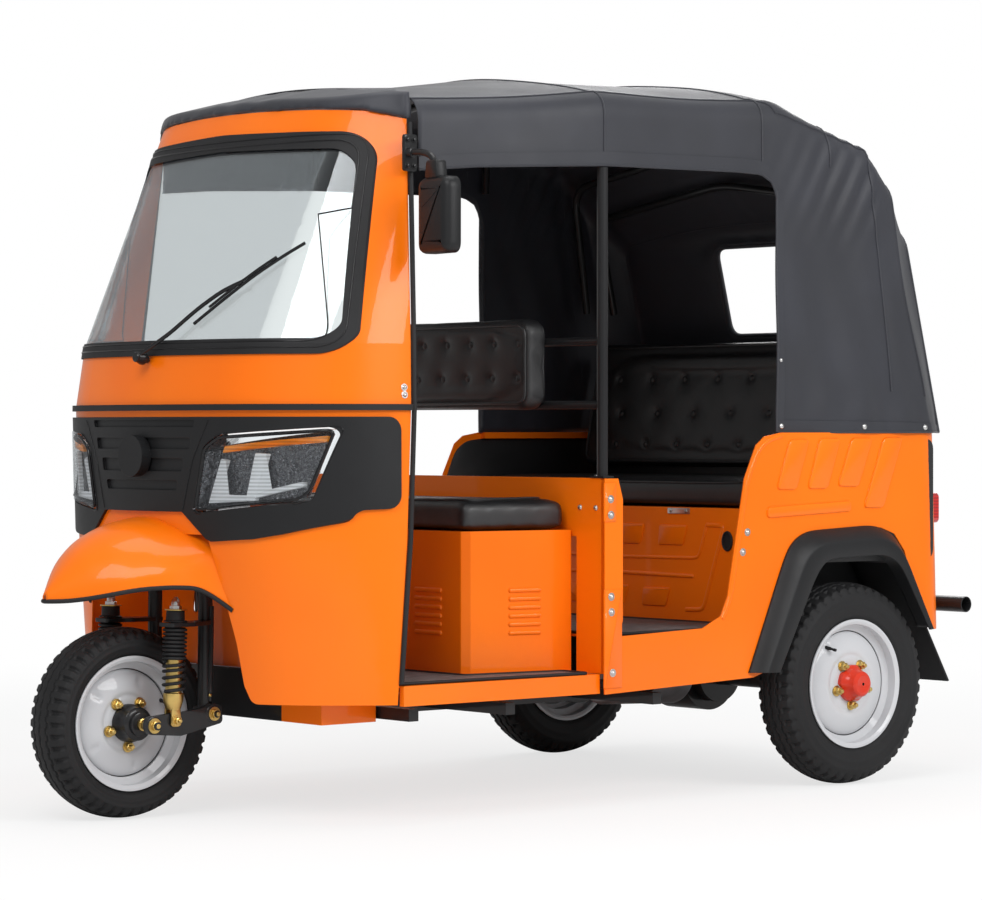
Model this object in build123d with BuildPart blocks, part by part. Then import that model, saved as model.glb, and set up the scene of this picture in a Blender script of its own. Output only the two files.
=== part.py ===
"""Auto rickshaw: a passenger three-wheeler with a steel cab, a canvas hood and one steered front wheel.

Frame: X forward, Y to the driver's left, Z up, millimetres. The origin is on the ground, on the
centre plane, 1160 mm behind the front axle.
"""

from build123d import *
from math import atan2, cos, degrees, hypot, radians, sin
import os

os.makedirs("parts", exist_ok=True)
pieces = {}

# ---------------------------------------------------------------- driving dimensions
FRONT_AXLE_X = 1160
REAR_AXLE_X = -790
REAR_WHEEL_Y = 580
FRONT_TYRE_R = 235
REAR_TYRE_R = 272

SKIN = 4  # thickness of the pressed body panels
CANVAS = 4  # thickness of the hood canvas with its lining
GAP = 0.4  # space left between neighbouring skins

SIDE_Y = 620  # outer face of the body sides
DOOR_FRONT_X = 714  # rear edge of the cab shell at belt height
BELT_Z = 1010  # top of the lower cab shell
SCREEN_BASE_Z = 1164  # where the cab front starts to lean back
HOOD_FRONT_X = 650  # front edge of the canvas hood
CAB_FLOOR_Z = 337
REAR_FLOOR_Z = 432
SILL_BOTTOM_Z = 288
PARTITION_X = 85
TUB_TOP_Z = 948

STEER_BASE = Vector(1110, 0, 235)  # the steering axis passes through these two points
STEER_TOP = Vector(832, 0, 1000)
STEER_AXIS = Axis(STEER_BASE, STEER_TOP - STEER_BASE)


def steer_point(z):
    """Point of the steering axis at height z."""
    share = (z - STEER_BASE.Z) / (STEER_TOP.Z - STEER_BASE.Z)
    return STEER_BASE + (STEER_TOP - STEER_BASE) * share


def tube_run(points, radius, bend):
    """Solid round bar along straight runs joined by tangent arcs."""
    with BuildPart() as bar:
        with BuildLine() as path:
            if len(points) > 2:
                FilletPolyline(*points, radius=bend)
            else:
                Line(*points)
        start = path.line @ 0
        with BuildSketch(Plane(origin=start, z_dir=path.line % 0)):
            Circle(radius)
        sweep(path=path.line)
    return bar.part


def round_bar(start, end, radius):
    """Solid cylinder between two points."""
    return tube_run([start, end], radius, 0)


# ---------------------------------------------------------------- wheels
# columns: radius, half width along the axle
FRONT_TYRE_PROFILE = {"bead": (157, 50), "flank": (168, 51), "wall": (197, 67), "shoulder": (223, 57),
                      "crown": (FRONT_TYRE_R, 0)}
REAR_TYRE_PROFILE = {"bead": (165, 50), "flank": (176, 51), "wall": (222, 63.5), "shoulder": (260, 52),
                     "crown": (REAR_TYRE_R, 0)}


def make_tyre(centre, profile):
    """Closed ring with bulging side walls and a slightly crowned tread."""
    bead, flank, wall, shoulder, crown = profile.values()
    with BuildPart() as tyre:
        with BuildSketch(Plane(origin=centre, x_dir=(1, 0, 0), z_dir=(0, 0, 1))):
            with BuildLine():
                Polyline((flank[0], -flank[1]), (bead[0], -bead[1]), bead, flank)
                ThreePointArc(flank, wall, shoulder)
                ThreePointArc(shoulder, crown, (shoulder[0], -shoulder[1]))
                ThreePointArc((shoulder[0], -shoulder[1]), (wall[0], -wall[1]), (flank[0], -flank[1]))
            make_face()
        revolve(axis=Axis(centre, (0, 1, 0)))
    return tyre.part


# columns: radius, axial place of the rim's outer face; the rim is 4 mm thick
FRONT_RIM = {"flange_r": 166, "seat_r": 156, "well_r": 138, "half_width": 56, "disc_y": 18, "hub_r": 46,
             "cap_r": 26}
REAR_RIM = {"flange_r": 173.5, "seat_r": 164, "well_r": 146, "half_width": 56, "disc_y": 22, "hub_r": 52,
            "cap_r": 30}
RIM_WALL = 4
NUT_CIRCLE = 44
NUT_R = 8


def make_wheel(centre, side, rim, hub_in, hub_out):
    """Pressed steel rim, dished disc, hub barrel and five wheel nuts; side is +1 for a left wheel."""
    wall, half = RIM_WALL, rim["half_width"]
    flange, seat, well, disc = rim["flange_r"], rim["seat_r"], rim["well_r"], rim["disc_y"]
    outline = [
        (flange, half), (flange, half - wall), (seat, half - wall - 2), (seat, 26), (well, 18),
        (well, -18), (seat, -26), (seat, -(half - wall - 2)), (flange, -(half - wall)), (flange, -half),
        (flange - 6, -half), (seat - wall, -(half - wall)), (seat - wall, -28), (well - wall, -20),
        (well - wall, disc - 14), (well - 24, disc - 6), (well - 58, disc + 6), (40, disc),
        (rim["hub_r"], hub_in), (16, hub_in), (16, hub_out), (rim["cap_r"], hub_out),
        (rim["hub_r"], disc + 12), (well - 56, disc + 11),
        (well - 22, disc - 1), (well - wall, disc - 8), (well - wall, 20), (seat - wall, 28),
        (seat - wall, half - wall), (flange - 6, half),
    ]
    with BuildPart() as wheel:
        with BuildSketch(Plane(origin=centre, x_dir=(1, 0, 0), z_dir=(0, 0, 1))):
            with BuildLine():
                Polyline(*[(radius, side * place) for radius, place in outline], close=True)
            make_face()
        revolve(axis=Axis(centre, (0, 1, 0)))
        nuts = Plane(origin=centre + Vector(0, side * disc, 0), x_dir=(1, 0, 0), z_dir=(0, side, 0))
        with BuildSketch(nuts):
            with PolarLocations(NUT_CIRCLE + 14, 5, start_angle=18):
                RegularPolygon(NUT_R, 6)
        extrude(amount=26)
    return wheel.part


# columns: body, centre, outboard side, tyre profile, rim, hub's inner and outer end
WHEELS = [
    ("front", Vector(FRONT_AXLE_X, 0, FRONT_TYRE_R), 1, FRONT_TYRE_PROFILE, FRONT_RIM, -60, 62),
    ("rear_left", Vector(REAR_AXLE_X, REAR_WHEEL_Y, REAR_TYRE_R), 1, REAR_TYRE_PROFILE, REAR_RIM, -8, 78),
    ("rear_right", Vector(REAR_AXLE_X, -REAR_WHEEL_Y, REAR_TYRE_R), -1, REAR_TYRE_PROFILE, REAR_RIM, -8, 78),
]
for body, centre, side, profile, rim, hub_in, hub_out in WHEELS:
    pieces[f"{body}_tyre"] = make_tyre(centre, profile)
    pieces[f"{body}_wheel"] = make_wheel(centre, side, rim, hub_in, hub_out)

# ---------------------------------------------------------------- steering fork
LEG_Y = 108  # centre of each fork leg
LINK_Y = 140  # centre of each leading link
LINK_T = 16
PIVOT = Vector(981, LEG_Y, 255)  # rear pivot of the leading link, left side
PIN_R = 9
SHOCK_FOOT = Vector(1100, LINK_Y, 235)
SHOCK_TOP = Vector(1090, LINK_Y, 551)
SHOCK_NECK_R = 12  # shock's rod where it passes through the seat plate
CROWN_Z = 568
CROWN_T = 16
SEAT_PLATE_Z = 474
SEAT_PLATE_T = 10
STEM_R = 17
HEAD_R = 30
HEAD_BOTTOM_Z, HEAD_TOP_Z = 620, 930


def both_sides(point):
    """The point and its mirror image across the centre plane."""
    return [point, Vector(point.X, -point.Y, point.Z)]


# fork plates, columns X and Y: the crown over the wheel, then the left seat plate under the shock's top
CROWN_OUTLINE = [(952, -128), (1030, -128), (1030, 128), (952, 128)]
SEAT_PLATE = [(962, 92), (962, 124), (1050, 168), (1122, 168), (1122, 112), (1050, 92)]
with BuildPart() as fork:
    with BuildSketch(Plane.XY.offset(CROWN_Z)):
        with BuildLine():
            FilletPolyline(*CROWN_OUTLINE, radius=10, close=True)
        make_face()
    extrude(amount=CROWN_T)
    for side in (1, -1):
        with BuildSketch(Plane.XY.offset(SEAT_PLATE_Z)):
            with BuildLine():
                FilletPolyline(*[(x, side * y) for x, y in SEAT_PLATE], radius=8, close=True)
            make_face()
            with Locations((SHOCK_TOP.X + 2, side * LINK_Y)):
                Circle(SHOCK_NECK_R + 1.5, mode=Mode.SUBTRACT)
        extrude(amount=SEAT_PLATE_T)
    for foot in both_sides(PIVOT):
        add(round_bar(Vector(978, foot.Y, CROWN_Z + CROWN_T / 2), foot, 18))
        with Locations(Location(foot, (90, 0, 0))):
            Cylinder(24, 44)
            Cylinder(PIN_R + GAP, 50, mode=Mode.SUBTRACT)
    add(round_bar(steer_point(CROWN_Z + CROWN_T / 2), steer_point(HEAD_TOP_Z + 40), STEM_R))
pieces["fork"] = fork.part

# leading link outline, columns X and Z, from the pivot to the axle eye
LINK_OUTLINE = [(955, 232), (1080, 206), (1176, 214), (1182, 256), (1110, 262), (1070, 264), (957, 278)]
with BuildPart() as front_links:
    for side in (1, -1):
        inner_y = side * (LINK_Y - LINK_T / 2)
        with BuildSketch(Plane(origin=(0, inner_y, 0), x_dir=(1, 0, 0), z_dir=(0, side, 0))):
            with BuildLine():
                FilletPolyline(*[(x, -side * z) for x, z in LINK_OUTLINE], radius=12, close=True)
            make_face()
        extrude(amount=LINK_T)
        inner = Vector(PIVOT.X, side * (LEG_Y - 24), PIVOT.Z)
        add(round_bar(inner, Vector(PIVOT.X, side * (LINK_Y + 22), PIVOT.Z), PIN_R))
    with Locations(Location((FRONT_AXLE_X, 0, FRONT_TYRE_R), (90, 0, 0))):
        Cylinder(10, 2 * LINK_Y + 54)
pieces["front_links"] = front_links.part

# shock outline from the foot up, columns: height above the foot, radius
SHOCK_ROWS = [(0, 16), (32, 16), (40, 20), (76, 26), (77, 27), (155, 27), (158, 31), (236, 28),
              (237, SHOCK_NECK_R), (251, SHOCK_NECK_R), (252, 24), (278, 24), (280, 28), (286, 28), (287, 17),
              (304, 17), (316, 6)]
with BuildPart() as front_shocks:
    for foot, top in zip(both_sides(SHOCK_FOOT), both_sides(SHOCK_TOP)):
        along = (top - foot).normalized()
        across = Vector(0, 1, 0)
        with BuildSketch(Plane(origin=foot, x_dir=across, z_dir=across.cross(along))):
            with BuildLine():
                Polyline((0, 0), *[(radius, height) for height, radius in SHOCK_ROWS], (0, SHOCK_ROWS[-1][0]),
                         close=True)
            make_face()
        revolve(axis=Axis(foot, along))
        with Locations(foot + Vector(0, 0, 10)):
            Box(60, LINK_T + 2 * GAP, 48, mode=Mode.SUBTRACT)
pieces["front_shocks"] = front_shocks.part

GRIP_Y = 330
GRIP = Vector(748, GRIP_Y, 1030)
with BuildPart() as handlebar:
    clamp = steer_point(HEAD_TOP_Z + 34)
    bend = [Vector(GRIP.X, -GRIP.Y, GRIP.Z), Vector(805, -190, 1034), Vector(clamp.X, -70, clamp.Z + 20),
            Vector(clamp.X, 70, clamp.Z + 20), Vector(805, 190, 1034), GRIP]
    add(tube_run(bend, 11, 40))
    with Locations(Location(clamp + Vector(0, 0, 12))):
        Box(56, 90, 44)
    add(round_bar(steer_point(HEAD_TOP_Z), steer_point(HEAD_TOP_Z + 40.5), STEM_R + GAP), mode=Mode.SUBTRACT)
    for side in (1, -1):
        inner = Vector(GRIP.X + 26, side * (GRIP_Y - 122), GRIP.Z + 2)
        add(round_bar(inner, Vector(GRIP.X - 2, side * (GRIP_Y + 6), GRIP.Z), 17))
pieces["handlebar"] = handlebar.part

# ---------------------------------------------------------------- cab shell
CHEEK_Y = 277
# columns: height, front on the centre plane, cheek X at CHEEK_Y, corner X and Y, rear edge X and Y
COWL_ROWS = [
    (SILL_BOTTOM_Z, 1056, 1030, 881, 515, 764, 600),
    (690, 1090, 1061, 904, 519, 729, 594),
    (BELT_Z, 1100, 1070, 914, 522, DOOR_FRONT_X, 590),
]
BAND_ROWS = [
    (BELT_Z + GAP, 1100, 1070, 914, 522, DOOR_FRONT_X, 590),
    (SCREEN_BASE_Z, 1075, 1045, 889, 516, 704, 576),
]
ROOF_Z = 1800
SCREEN_ROWS = [
    (SCREEN_BASE_Z, 1075, 1045, 889, 516, 704, 576),
    (ROOF_Z, 794, 769, 683, 449, 661, 505),
]


def cab_face(row, outset=0, tail=0):
    """Plan section of the cab front, grown by outset, with its open rear end carried back by tail."""
    height, front_x, cheek_x, corner_x, corner_y, rear_x, rear_y = row
    with BuildSketch(Plane.XY.offset(height)) as plan:
        with BuildLine():
            brow = ThreePointArc((cheek_x, -CHEEK_Y), (front_x, 0), (cheek_x, CHEEK_Y))
            left = TangentArc(brow @ 1, (corner_x, corner_y), tangent=brow % 1)
            rear_left = TangentArc(left @ 1, (rear_x, rear_y), tangent=left % 1)
            right = TangentArc(brow @ 0, (corner_x, -corner_y), tangent=-(brow % 0))
            rear_right = TangentArc(right @ 1, (rear_x, -rear_y), tangent=right % 1)
            back_x = rear_x - 40 - tail
            Polyline(rear_left @ 1, (back_x, rear_y), (back_x, -rear_y), rear_right @ 1)
        make_face()
        if outset:
            offset(amount=outset, kind=Kind.INTERSECTION)
    return plan.sketch.faces()[0]


def cab_shell(rows, outer, inner):
    """Open-backed skin that follows the cab front between two outsets of its plan sections."""
    with BuildPart() as shell:
        loft([cab_face(row, outer) for row in rows], ruled=True)
        loft([cab_face(row, inner, tail=60) for row in rows], ruled=True, mode=Mode.SUBTRACT)
        rear_x = [(row[0], row[5]) for row in rows]
        with BuildSketch(Plane.XZ.offset(-900)):
            with BuildLine():
                Polyline(*[(x, z) for z, x in rear_x], (rear_x[-1][1] - 400, rear_x[-1][0] + 5),
                         (rear_x[0][1] - 400, rear_x[0][0] - 5), close=True)
            make_face()
        extrude(amount=1800, mode=Mode.SUBTRACT)
    return shell.part


def cab_inside(outset):
    """Solid space inside the lower cab shell and the band above it."""
    with BuildPart() as inside:
        loft([cab_face(row, outset) for row in (COWL_ROWS[1], COWL_ROWS[2], BAND_ROWS[1])], ruled=True)
    return inside.part


def front_prism(points, bend, x_from, x_to):
    """Solid with a rounded outline drawn in the front view, columns Y and Z, run along X."""
    with BuildPart() as prism:
        with BuildSketch(Plane(origin=(x_from, 0, 0), x_dir=(0, 1, 0), z_dir=(1, 0, 0))):
            with BuildLine():
                FilletPolyline(*points, radius=bend, close=True)
            make_face()
        extrude(amount=x_to - x_from)
    return prism.part


def side_prism(points, y_from, y_to, bend=0):
    """Solid with an outline drawn in the side view, columns X and Z, run along Y."""
    with BuildPart() as prism:
        with BuildSketch(Plane(origin=(0, y_from, 0), x_dir=(1, 0, 0), z_dir=(0, -1, 0))):
            with BuildLine():
                if bend:
                    FilletPolyline(*points, radius=bend, close=True)
                else:
                    Polyline(*points, close=True)
            make_face()
        extrude(amount=y_from - y_to)
    return prism.part


# front view outlines, columns Y and Z: the front wheel opening in the cowl, then one headlamp opening
WHEEL_OPENING = [(-640, 200), (-640, 292), (-346, 292), (-327, 336), (-312, 440), (-288, 536), (-240, 700),
                 (240, 700), (288, 536), (312, 440), (327, 336), (346, 292), (640, 292), (640, 200)]
LAMP_OUTLINE = [(208, 752), (244, 915), (293, 944), (550, 964), (498, 782)]
LAMP_CORNER = 18
with BuildPart() as front_cowl:
    add(cab_shell(COWL_ROWS, 0, -SKIN))
    add(front_prism(WHEEL_OPENING, 24, 700, 1250), mode=Mode.SUBTRACT)
    for side in (1, -1):
        add(front_prism([(side * y, z) for y, z in LAMP_OUTLINE], LAMP_CORNER, 780, 1250), mode=Mode.SUBTRACT)
pieces["front_cowl"] = front_cowl.part

# windscreen loops in the front view
# columns: half width and height of the foot, half width and height of the head, height of the middle of the
# head, radius of the lower and of the upper corners
SCREEN_LOOPS = {
    "gasket_outer": (550, 1138, 470, 1684, 1698, 52, 92),
    "opening": (538, 1158, 457, 1664, 1677, 46, 84),
    "glass": (537, 1159, 456, 1663, 1676, 45, 83),
    "gasket_inner": (525, 1176, 444, 1642, 1654, 40, 74),
}
SCREEN_CROWN_R = 900


def screen_prism(loop):
    """One of the windscreen loops run through the cab front; its top edge rises to the middle."""
    low, low_z, high, high_z, middle_z, low_bend, high_bend = SCREEN_LOOPS[loop]
    outline = [(-low, low_z), (low, low_z), (high, high_z), (0, middle_z), (-high, high_z)]
    with BuildPart() as prism:
        with BuildSketch(Plane(origin=(640, 0, 0), x_dir=(0, 1, 0), z_dir=(1, 0, 0))):
            with BuildLine():
                FilletPolyline(*outline, radius=[low_bend, low_bend, high_bend, SCREEN_CROWN_R, high_bend],
                               close=True)
            make_face()
        extrude(amount=600)
    return prism.part


def roof_band(edge_z, middle_z, x_from, x_to, top_z=2000):
    """Region above a crowned line, front view, used to trim the roof pieces."""
    with BuildPart() as band:
        with BuildSketch(Plane(origin=(x_from, 0, 0), x_dir=(0, 1, 0), z_dir=(1, 0, 0))):
            with BuildLine():
                ThreePointArc((-430, edge_z), (0, middle_z), (430, edge_z))
                Polyline((430, edge_z), (520, edge_z - 24), (760, edge_z - 84), (760, top_z), (-760, top_z),
                         (-760, edge_z - 84), (-520, edge_z - 24), (-430, edge_z))
            make_face()
        extrude(amount=x_to - x_from)
    return band.part


HEADER_EDGE_Z, HEADER_MIDDLE_Z = 1737, 1751
with BuildPart() as cab_surround:
    add(cab_shell(BAND_ROWS, 0, -SKIN))
    add(cab_shell(SCREEN_ROWS, 0, -SKIN))
    add(screen_prism("opening"), mode=Mode.SUBTRACT)
    add(roof_band(HEADER_EDGE_Z, HEADER_MIDDLE_Z, 500, 1250), mode=Mode.SUBTRACT)
pieces["cab_surround"] = cab_surround.part

GLASS_T = 5
with BuildPart() as windscreen_glass:
    add(cab_shell(SCREEN_ROWS, 0, -GLASS_T))
    add(screen_prism("glass"), mode=Mode.INTERSECT)
pieces["windscreen_glass"] = windscreen_glass.part

GASKET_T = 5
with BuildPart() as windscreen_gasket:
    add(cab_shell(SCREEN_ROWS, GASKET_T, GAP))
    add(cab_shell(BAND_ROWS, GASKET_T, GAP))
    add(screen_prism("gasket_outer"), mode=Mode.INTERSECT)
    add(screen_prism("gasket_inner"), mode=Mode.SUBTRACT)
pieces["windscreen_gasket"] = windscreen_gasket.part

BELT_HEIGHT = 15
BELT_ROWS = [(z, *COWL_ROWS[-1][1:]) for z in (BELT_Z - BELT_HEIGHT / 2, BELT_Z + BELT_HEIGHT / 2)]
with BuildPart() as belt_moulding:
    add(cab_shell(BELT_ROWS, 9, 0.8))
pieces["belt_moulding"] = belt_moulding.part

MASK_T = 9
# black mask outlines: the front view, columns Y and Z, then the side view, columns X and Z
MASK_OUTLINE = [(-640, 987), (-640, 768), (-594, 768), (-538, 732), (-439, 704), (-376, 692), (-262, 684),
                (-246, 690), (-166, 755), (166, 755), (246, 690), (262, 684), (376, 692), (439, 704),
                (538, 732), (594, 768), (640, 768), (640, 987)]
MASK_SIDE = [(750, 987), (1300, 987), (1300, 640), (900, 640), (860, 762), (750, 766)]
MASK_CORNER = 34
# columns: bottom, top, half width at the bottom
GRILLE_SLOTS = [(962, 980, 213), (908, 936, 197), (854, 886, 169), (808, 832, 148)]
SLOT_DEPTH = 7
DISC_R = 52
DISC_Z = 891
with BuildPart() as grille_slots:
    for low, high, half in GRILLE_SLOTS:
        add(front_prism([(-half, low), (half, low), (half + 6, high), (-half - 6, high)], 6, 1040, 1250))
    add(cab_shell(COWL_ROWS, MASK_T + 4, MASK_T - SLOT_DEPTH), mode=Mode.INTERSECT)
with BuildPart() as grille_mask:
    add(cab_shell(COWL_ROWS, MASK_T, GAP))
    add(front_prism(MASK_OUTLINE, 3, 700, 1250), mode=Mode.INTERSECT)
    add(side_prism(MASK_SIDE, 700, -700, MASK_CORNER), mode=Mode.INTERSECT)
    for side in (1, -1):
        add(front_prism([(side * y, z) for y, z in LAMP_OUTLINE], LAMP_CORNER, 780, 1250), mode=Mode.SUBTRACT)
    add(grille_slots.part, mode=Mode.SUBTRACT)
    with BuildSketch(Plane(origin=(1102, 0, DISC_Z), x_dir=(0, 1, 0), z_dir=(1, 0, 0))):
        Circle(DISC_R)
    extrude(amount=28)
pieces["grille_mask"] = grille_mask.part

# lens outline, front view, columns Y and Z
LENS_OUTLINE = [(213, 756), (248, 911), (295, 940), (544, 959), (494, 786)]
LAMP_DEPTH = 34
with BuildPart() as headlamps:
    for side in (1, -1):
        add(front_prism([(side * y, z) for y, z in LENS_OUTLINE], LAMP_CORNER - 3, 780, 1250))
    add(cab_shell(COWL_ROWS, MASK_T + 2, -LAMP_DEPTH), mode=Mode.INTERSECT)
pieces["headlamps"] = headlamps.part

# ---------------------------------------------------------------- visor over the windscreen
VISOR_REACH = 8
# columns: X, crown height, edge height of the roof surface over the visor
VISOR_TOP = [(640, 1822, 1782), (880, 1762, 1722)]
VISOR_HALF = 560
# the cab front's plan rows, carried up past the visor
VISOR_PLAN = [SCREEN_ROWS[0], (1900, 750, 726, 660, 440, 652, 494)]


def arch_face(x, half, crown_z, edge_z, bottom_z):
    """Arch in a plane across the vehicle: straight sides from bottom_z to edge_z, then one arc."""
    with BuildSketch(Plane(origin=(x, 0, 0), x_dir=(0, 1, 0), z_dir=(1, 0, 0))) as arch:
        with BuildLine():
            ThreePointArc((-half, edge_z), (0, crown_z), (half, edge_z))
            Polyline((half, edge_z), (half, bottom_z), (-half, bottom_z), (-half, edge_z))
        make_face()
    return arch.sketch.faces()[0]


with BuildPart() as roof_visor:
    loft([arch_face(x, VISOR_HALF, crown, edge, 1640) for x, crown, edge in VISOR_TOP], ruled=True)
    loft([cab_face(row, VISOR_REACH) for row in VISOR_PLAN], ruled=True, mode=Mode.INTERSECT)
    add(roof_band(HEADER_EDGE_Z + GAP, HEADER_MIDDLE_Z + GAP, 500, 1250), mode=Mode.INTERSECT)
    with Locations((HOOD_FRONT_X + GAP - 200, 0, 1760)):
        Box(400, 1400, 400, mode=Mode.SUBTRACT)
pieces["roof_visor"] = roof_visor.part

# ---------------------------------------------------------------- mudguard over the front wheel
# columns: X, half width at the edge, half width at the spring line, crown height, spring height, edge height
MUDGUARD_ROWS = [
    (1030, 318, 262, 742, 660, 508), (1053, 290, 255, 742, 655, 534), (1075, 268, 248, 742, 648, 556),
    (1100, 246, 236, 741, 636, 574), (1168, 218, 212, 728, 612, 576), (1215, 182, 178, 711, 604, 572),
    (1247, 165, 160, 695, 596, 567), (1300, 108, 105, 657, 580, 552), (1338, 60, 59, 612, 562, 543),
    (1362, 30, 29, 580, 552, 541), (1380, 8, 7.5, 557, 548, 541),
]
MUDGUARD_T = 5
# columns: height, then the cab front's plan row, for trimming the mudguard where it meets the cab
MUDGUARD_TRIM = [(380, *COWL_ROWS[1][1:]), COWL_ROWS[1], COWL_ROWS[2]]


def guard_face(row, inset=0, drop=0):
    """Section of the mudguard: one arc over spreading sides; drop carries the sides lower."""
    x, foot, half, crown, spring, edge = row
    foot += drop * (foot - half) / (spring - edge) - inset
    half -= inset
    with BuildSketch(Plane(origin=(x - inset, 0, 0), x_dir=(0, 1, 0), z_dir=(1, 0, 0))) as section:
        with BuildLine():
            ThreePointArc((-half, spring), (0, crown - inset), (half, spring))
            Polyline((half, spring), (foot, edge - drop), (-foot, edge - drop), (-half, spring))
        make_face()
    return section.sketch.faces()[0]


with BuildPart() as front_mudguard:
    loft([guard_face(row) for row in MUDGUARD_ROWS], ruled=True)
    loft([guard_face(row, MUDGUARD_T, drop=40) for row in MUDGUARD_ROWS], ruled=True, mode=Mode.SUBTRACT)
    loft([cab_face(row, 0.5) for row in MUDGUARD_TRIM], ruled=True, mode=Mode.SUBTRACT)
pieces["front_mudguard"] = front_mudguard.part

# ---------------------------------------------------------------- chassis frame
RAIL_Y = 235
RAIL_W = 40
RAIL_END_X = -1134
# side rail outline, columns X and Z: low in the middle, kicked up over the rear axle
RAIL_OUTLINE = [(-1120, 305), (-1000, 376), (-600, 376), (-380, 238), (800, 238), (800, 286), (-366, 286),
                (-586, 424), (-1014, 424), (RAIL_END_X, 352)]
# columns: X, Z, half length
CROSS_MEMBERS = [(-1060, 372, RAIL_Y), (-606, 402, RAIL_Y), (-120, 262, 570), (380, 262, 570),
                 (690, 262, 570), (782, 262, RAIL_Y)]
CROSS_SIZE = 30
WELL_X = 862  # rear wall of the front wheel's well
STAY_R = 18
STAYS = [(Vector(782, side * 170, 262), Vector(900, side * 26, 720)) for side in (1, -1)]
BRACE_R = 12
BRACE_Z = 760
with BuildPart() as chassis_frame:
    for side in (1, -1):
        add(side_prism(RAIL_OUTLINE, side * RAIL_Y - RAIL_W / 2, side * RAIL_Y + RAIL_W / 2))
    for x, z, half in CROSS_MEMBERS:
        with Locations((x, 0, z)):
            Box(CROSS_SIZE, 2 * half, CROSS_SIZE)
    for foot, top in STAYS:
        add(round_bar(foot, top, STAY_R))
    add(round_bar(steer_point(HEAD_BOTTOM_Z), steer_point(HEAD_TOP_Z), HEAD_R))
    for side in (1, -1):
        add(round_bar(steer_point(BRACE_Z), Vector(880, side * 505, BRACE_Z), BRACE_R))
    add(round_bar(steer_point(HEAD_BOTTOM_Z - 40), steer_point(HEAD_TOP_Z + 40), STEM_R + 3),
        mode=Mode.SUBTRACT)
pieces["chassis_frame"] = chassis_frame.part

# inner well that closes the cowl behind the front wheel
WELL_BOTTOM_Z, WELL_TOP_Z = 362, 610
with BuildPart() as wheel_well:
    with BuildSketch(Plane.XY.offset(WELL_BOTTOM_Z)):
        with BuildLine():
            FilletPolyline((1020, -345), (WELL_X, -300), (WELL_X, 300), (1020, 345), (1016, 348),
                           (WELL_X - 4, 304), (WELL_X - 4, -304), (1016, -348), radius=1, close=True)
        make_face()
    extrude(amount=WELL_TOP_Z - WELL_BOTTOM_Z)
    add(round_bar(steer_point(500), steer_point(700), HEAD_R + 18), mode=Mode.SUBTRACT)
    for foot, top in STAYS:
        add(round_bar(foot, top, STAY_R + 2), mode=Mode.SUBTRACT)
    add(cab_shell(COWL_ROWS, 60, -SKIN - 1), mode=Mode.SUBTRACT)
pieces["wheel_well"] = wheel_well.part

# ---------------------------------------------------------------- floors and lower body
FLOOR_T = 4
SILL_FRONT_X = 750
with BuildPart() as cab_floor:
    with BuildSketch(Plane.XY.offset(CAB_FLOOR_Z - FLOOR_T)):
        with BuildLine():
            Polyline((112, -592), (760, -592), (WELL_X - 6, -500), (WELL_X - 6, 500), (760, 592), (112, 592),
                     close=True)
        make_face()
    extrude(amount=FLOOR_T)
    for foot, top in STAYS:
        add(round_bar(foot, top, STAY_R + 2), mode=Mode.SUBTRACT)
    for side in (1, -1):
        with Locations(((112 + SILL_FRONT_X) / 2, side * 598, (SILL_BOTTOM_Z + CAB_FLOOR_Z) / 2)):
            Box(SILL_FRONT_X - 112, 16, CAB_FLOOR_Z - SILL_BOTTOM_Z)
pieces["cab_floor"] = cab_floor.part

# pan under the cab floor: a front plate, two sides and a bottom with openings for the chassis rails
PAN_FRONT_X, PAN_REAR_X = 880, 712
PAN_BOTTOM_Z = 240
PAN_HALF = 450
with BuildPart() as under_pan:
    with Locations(((PAN_FRONT_X + PAN_REAR_X) / 2, 0, (PAN_BOTTOM_Z + 331) / 2)):
        Box(PAN_FRONT_X - PAN_REAR_X, 2 * PAN_HALF, 331 - PAN_BOTTOM_Z)
    with Locations((PAN_REAR_X - 4, 0, 300)):
        Box(2 * (PAN_FRONT_X - PAN_REAR_X), 2 * (PAN_HALF - SKIN), 2 * (300 - PAN_BOTTOM_Z - SKIN),
            mode=Mode.SUBTRACT)
    with Locations((PAN_FRONT_X - 2, 0, (PAN_BOTTOM_Z + WELL_BOTTOM_Z) / 2)):
        Box(SKIN, 592, WELL_BOTTOM_Z - PAN_BOTTOM_Z)
    with Locations(((PAN_REAR_X + 806) / 2, 0, PAN_BOTTOM_Z)):
        Box(806 - PAN_REAR_X, 2 * (RAIL_Y + RAIL_W / 2 + 4), 4 * SKIN, mode=Mode.SUBTRACT)
pieces["under_pan"] = under_pan.part

BENCH_X = -492
with BuildPart() as rear_floor:
    with Locations(((BENCH_X + 4 + 80) / 2, 0, REAR_FLOOR_Z - 3)):
        Box(76 - BENCH_X, 1196, 6)
pieces["rear_floor"] = rear_floor.part

TUB_FRONT_X = 108
TUB_REAR_X = -1172
TUB_CORNER = 100
# side panel outline, columns X and Z, from the bottom front corner round the door opening to the rear
TUB_SIDE = [
    (TUB_FRONT_X, 286), (TUB_FRONT_X, 832), (62, 832), (46, 780), (46, 470), (62, 431), (-235, 441),
    (-300, 470), (-325, 520), (-387, 828), (-430, 915), (-462, 938), (-523, TUB_TOP_Z), (-1300, TUB_TOP_Z),
    (-1300, 405),
    (-1112, 405), (-1075, 430), (-1000, 625), (-960, 672), (-905, 690), (-640, 682), (-590, 655), (-470, 320),
    (-420, 305),
]


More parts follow.
